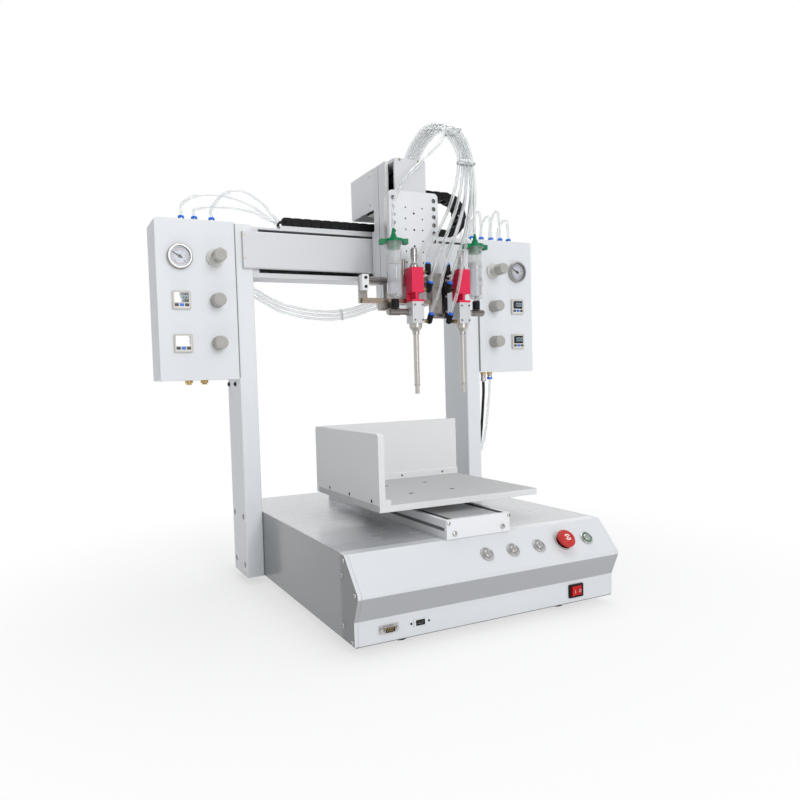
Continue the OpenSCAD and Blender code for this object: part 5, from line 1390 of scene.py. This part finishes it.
class COATING_OT_head(Maker, bpy.types.Operator):
    """Spray head: tool plate, valves, syringes and brackets"""

    bl_idname = "coating.head"
    bl_label = "Spray head"

    def make(self, scene):
        dressed("tool_plate", "plate", "dark", edge=0.0003, faces=self.shaded_holes)
        dressed("valve_brackets", "gunmetal", "clamp", "bronze", "bracket", "dark", edge=0.0004,
                faces=self.bracket)
        dressed("valve_bodies", "valve", "silver", "gunmetal", edge=0.0003, faces=self.body)
        dressed("valve_blocks", "crimson", edge=0.0004)
        dressed("syringes", "syringe", edge=0)
        dressed("syringe_caps", "green", edge=0.0003)
        dressed("valve_fittings", "black", "blue", "brass", edge=0, faces=self.elbow)
        for k, (x, side) in enumerate(VALVES):
            knob = f"stroke_knob_{k + 1}"
            dressed(knob, "steel", edge=0)
            ring(f"stroke_knurl_{k + 1}", (0.55, 0.55, 15), moved(x, VALVE_Y, 576.5), "steel", knob, Count=36,
                 Radius=0.006, Start=0.0, Sweep=math.radians(350), Every=1000, Long=1.0)
            self.syringe(k)
            self.valve(k, x, side)
        self.screws()

    @staticmethod
    def shaded_holes(middle, normal):
        """The walls of the tapped holes and of the counterbores get the dark finish: painted shade in the
        holes.
        """
        x, y, z = middle
        return 1 if abs(x - LIFT_X) < 47.4 and 290.4 < y < 297.5 and 510 < z < 700 else None

    @staticmethod
    def bracket(middle, normal):
        """Round rods are steel, the left clamp is coated, the long bar is bronze, the rest is milled."""
        x, y, z = middle
        if x < -56.5 and y < 284.5 and z > 517:
            return 1
        if x < 72 and 495.5 < z < 505.5 and y < 285:
            return 2
        if 99 < x < 106.6 and z < 553 and y < 285:
            return 4
        if max(abs(y - 280), abs(z - 538)) < 4.2 or (abs(x - 17) < 4.5 and z > 547) or z < 483:
            return 0
        return 3

    @staticmethod
    def body(middle, normal):
        """A valve's square lower body is anodised, and its inlet pipe is dark."""
        if min(abs(middle.x - x) for x, side in VALVES) > 12.3:
            return 2
        return 1 if middle.z > 461.6 else 0

    @staticmethod
    def elbow(middle, normal):
        """An elbow's release ring is blue, and the nipple between it and its valve is brass."""
        for valve, (x, side) in enumerate(VALVES):
            for row in range(len(ELBOWS)):
                way = elbow_way(row)
                reach = middle - outlet(valve, row, 0)
                along = reach.dot(way)
                if (reach - way * along).length < 6.5 and -7 < along < 18:
                    return 1 if along > 13.8 else 0
                if abs(reach.z) < 5 and 12 < (middle.x - x) * side < 17.5:
                    return 2
        return 0

    @staticmethod
    def syringe(k):
        """Fluid, piston and graduation of a syringe."""
        where = moved(SYRINGE_X[k], VALVE_Y, SYRINGE_Z)
        shape = Shape()
        shape.lathe("fluid", [(0, 5.2), (1.4, 5.2), (12.1, 10.3), (12.1, 62), (11.6, 63), (0, 62.4)], where)
        shape.lathe("piston", [(0, 63.5), (11.6, 63.5), (12.1, 65), (12.1, 66), (11.5, 67), (12.1, 68),
                               (12.1, 72), (11, 73), (4, 70.5), (0, 70.5)], where)
        shape.place(f"syringe_fluid_{k + 1}", "syringes")
        marks = Shape()
        for n in range(16):
            wide = 0.62 if n % 5 == 0 else 0.36
            angles = [-math.pi / 2 - wide / 2 + wide * i / 6 for i in range(7)]
            line = washer(13.5, 13.56, 14 + 5 * n, 14.3 + 5 * n)
            rings = [[(r * math.cos(a), r * math.sin(a), z) for r, z in line] for a in angles]
            marks.loft("grey_ring", rings, where)
        marks.place(f"syringe_marks_{k + 1}", "syringes")

    @staticmethod
    def valve(k, x, side):
        """Seams, bolts and hexagon of a spray valve."""
        up = moved(x, VALVE_Y)
        shape = Shape()
        shape.lathe("valve", washer(11.4, 11.75, 452.4, 456.6), up)
        shape.lathe("steel", washer(4.9, 5.45, 346, 349), up)
        shape.lathe("steel", [(4.9, 438.5), (6.3, 438.5), (6.3, 442.8), (4.9, 443.2)], up)
        shape.lathe("nickel", [(3.9, 558.1), (8.9, 558.1), (8.9, 560.2), (8.2, 561), (3.9, 561)], up, 6)
        out = axes((x - side * 12, VALVE_Y, 479), (0, 1, 0), (0, 0, 1), (-side, 0, 0))
        shape.lathe("nickel", [(5.4, 0), (8.2, 0, 6), (8.2, 5, 6), (5.4, 5)], out, 24)
        end = abs(SYRINGE_X[k] - x) + 1
        plug = [(0, end), (5.2, end, 6), (5.2, end + 3, 6), (4.6, end + 3.6, 6), (0, end + 3.6)]
        shape.lathe("bracket", plug, out, 24)
        shape.place(f"valve_trim_{k + 1}", "valve_bodies")
        spots = crossings(FRONT, (x - 8, x + 8), (VALVE_Y - 12,), (491, 464))
        spots += crossings(UP, (x - 9, x + 9), (VALVE_Y - 9, VALVE_Y + 9), (BLOCK_TOP,))
        fasteners(f"valve_bolts_{k + 1}", "cap", 2.0, "nickel", "valve_bodies", spots, 15 + k)

    @staticmethod
    def screws():
        """Screws of the tool plate, the left clamp and the brackets."""
        spots = crossings(FRONT, (LIFT_X - 43, LIFT_X + 43), (293.9,), range(690, 600, -15))
        fasteners("plate_screws", "cap", 2.9, "bracket", "tool_plate", spots, 20)
        spots = crossings(FRONT, (-63.5,), (272,), (540, 524))
        fasteners("clamp_screws", "cap", 2.6, "dark", "valve_brackets", spots, 21)
        spots = crossings(FRONT, (-56, -30, 62), (276,), (500.5,))
        spots += crossings(FRONT, (-28, -10), (274,), (490,))
        for x, z in ((78, 546), (87, 546), (82, 526), (78, 508), (87, 508), (82, 488)):
            spots.append(((x, 270, z), FRONT))
        spots += crossings(FRONT, (103,), (272,), (540, 510, 482))
        fasteners("bracket_screws", "cap", 2.3, "steel", "valve_brackets", spots, 22)


class COATING_OT_chain(Maker, bpy.types.Operator):
    """Drag chain with its bend and its two runs"""

    bl_idname = "coating.chain"
    bl_label = "Drag chain"

    def make(self, scene):
        lower = ("frame", "x_carriage", at(-162, 0, 0), at(558, 0, 0))
        upper = ("x_carriage", "chain_bend_body", at(98, 0, 0), at(198, 0, 0))
        dressed("chain_lower_run", "black", edge=0.0004, body=lower)
        dressed("chain_bend", "black", edge=0.0004)
        dressed("chain_upper_run", "black", "milled", edge=0.0004, body=upper,
                solids=lambda middle, size: int(middle.x < 110 and size.z > 17))


OPERATORS = (COATING_OT_stage, COATING_OT_hoses, COATING_OT_cabinet, COATING_OT_controls, COATING_OT_portal,
             COATING_OT_boxes, COATING_OT_table, COATING_OT_lift, COATING_OT_head, COATING_OT_chain)


class COATING_PT_panel(bpy.types.Panel):
    """The machine's pieces in the sidebar"""

    bl_idname = "COATING_PT_panel"
    bl_label = "Coating machine"
    bl_space_type = "VIEW_3D"
    bl_region_type = "UI"
    bl_category = "Coating machine"

    def draw(self, context):
        for operator in OPERATORS:
            self.layout.operator(operator.bl_idname)
        for group in (getattr(context.scene, name) for name in GROUPS):
            box = self.layout.box()
            for key in group.bl_rna.properties.keys():
                if key not in ("rna_type", "name"):
                    box.prop(group, key)


GROUPS = {
    "coating_colours": COATING_PG_colours,
    "coating_sizes": COATING_PG_sizes,
    "coating_stage": COATING_PG_stage,
}


def register():
    for made in (*GROUPS.values(), *OPERATORS, COATING_PT_panel):
        bpy.utils.register_class(made)
    for name, group in GROUPS.items():
        setattr(bpy.types.Scene, name, PointerProperty(type=group))


def unregister():
    for name in GROUPS:
        delattr(bpy.types.Scene, name)
    for made in reversed((*GROUPS.values(), *OPERATORS, COATING_PT_panel)):
        bpy.utils.unregister_class(made)


def main():
    """Makes every piece in order."""
    register()
    for operator in OPERATORS:
        group, name = operator.bl_idname.split(".")
        getattr(getattr(bpy.ops, group), name)()


if __name__ == "__main__":
    main()
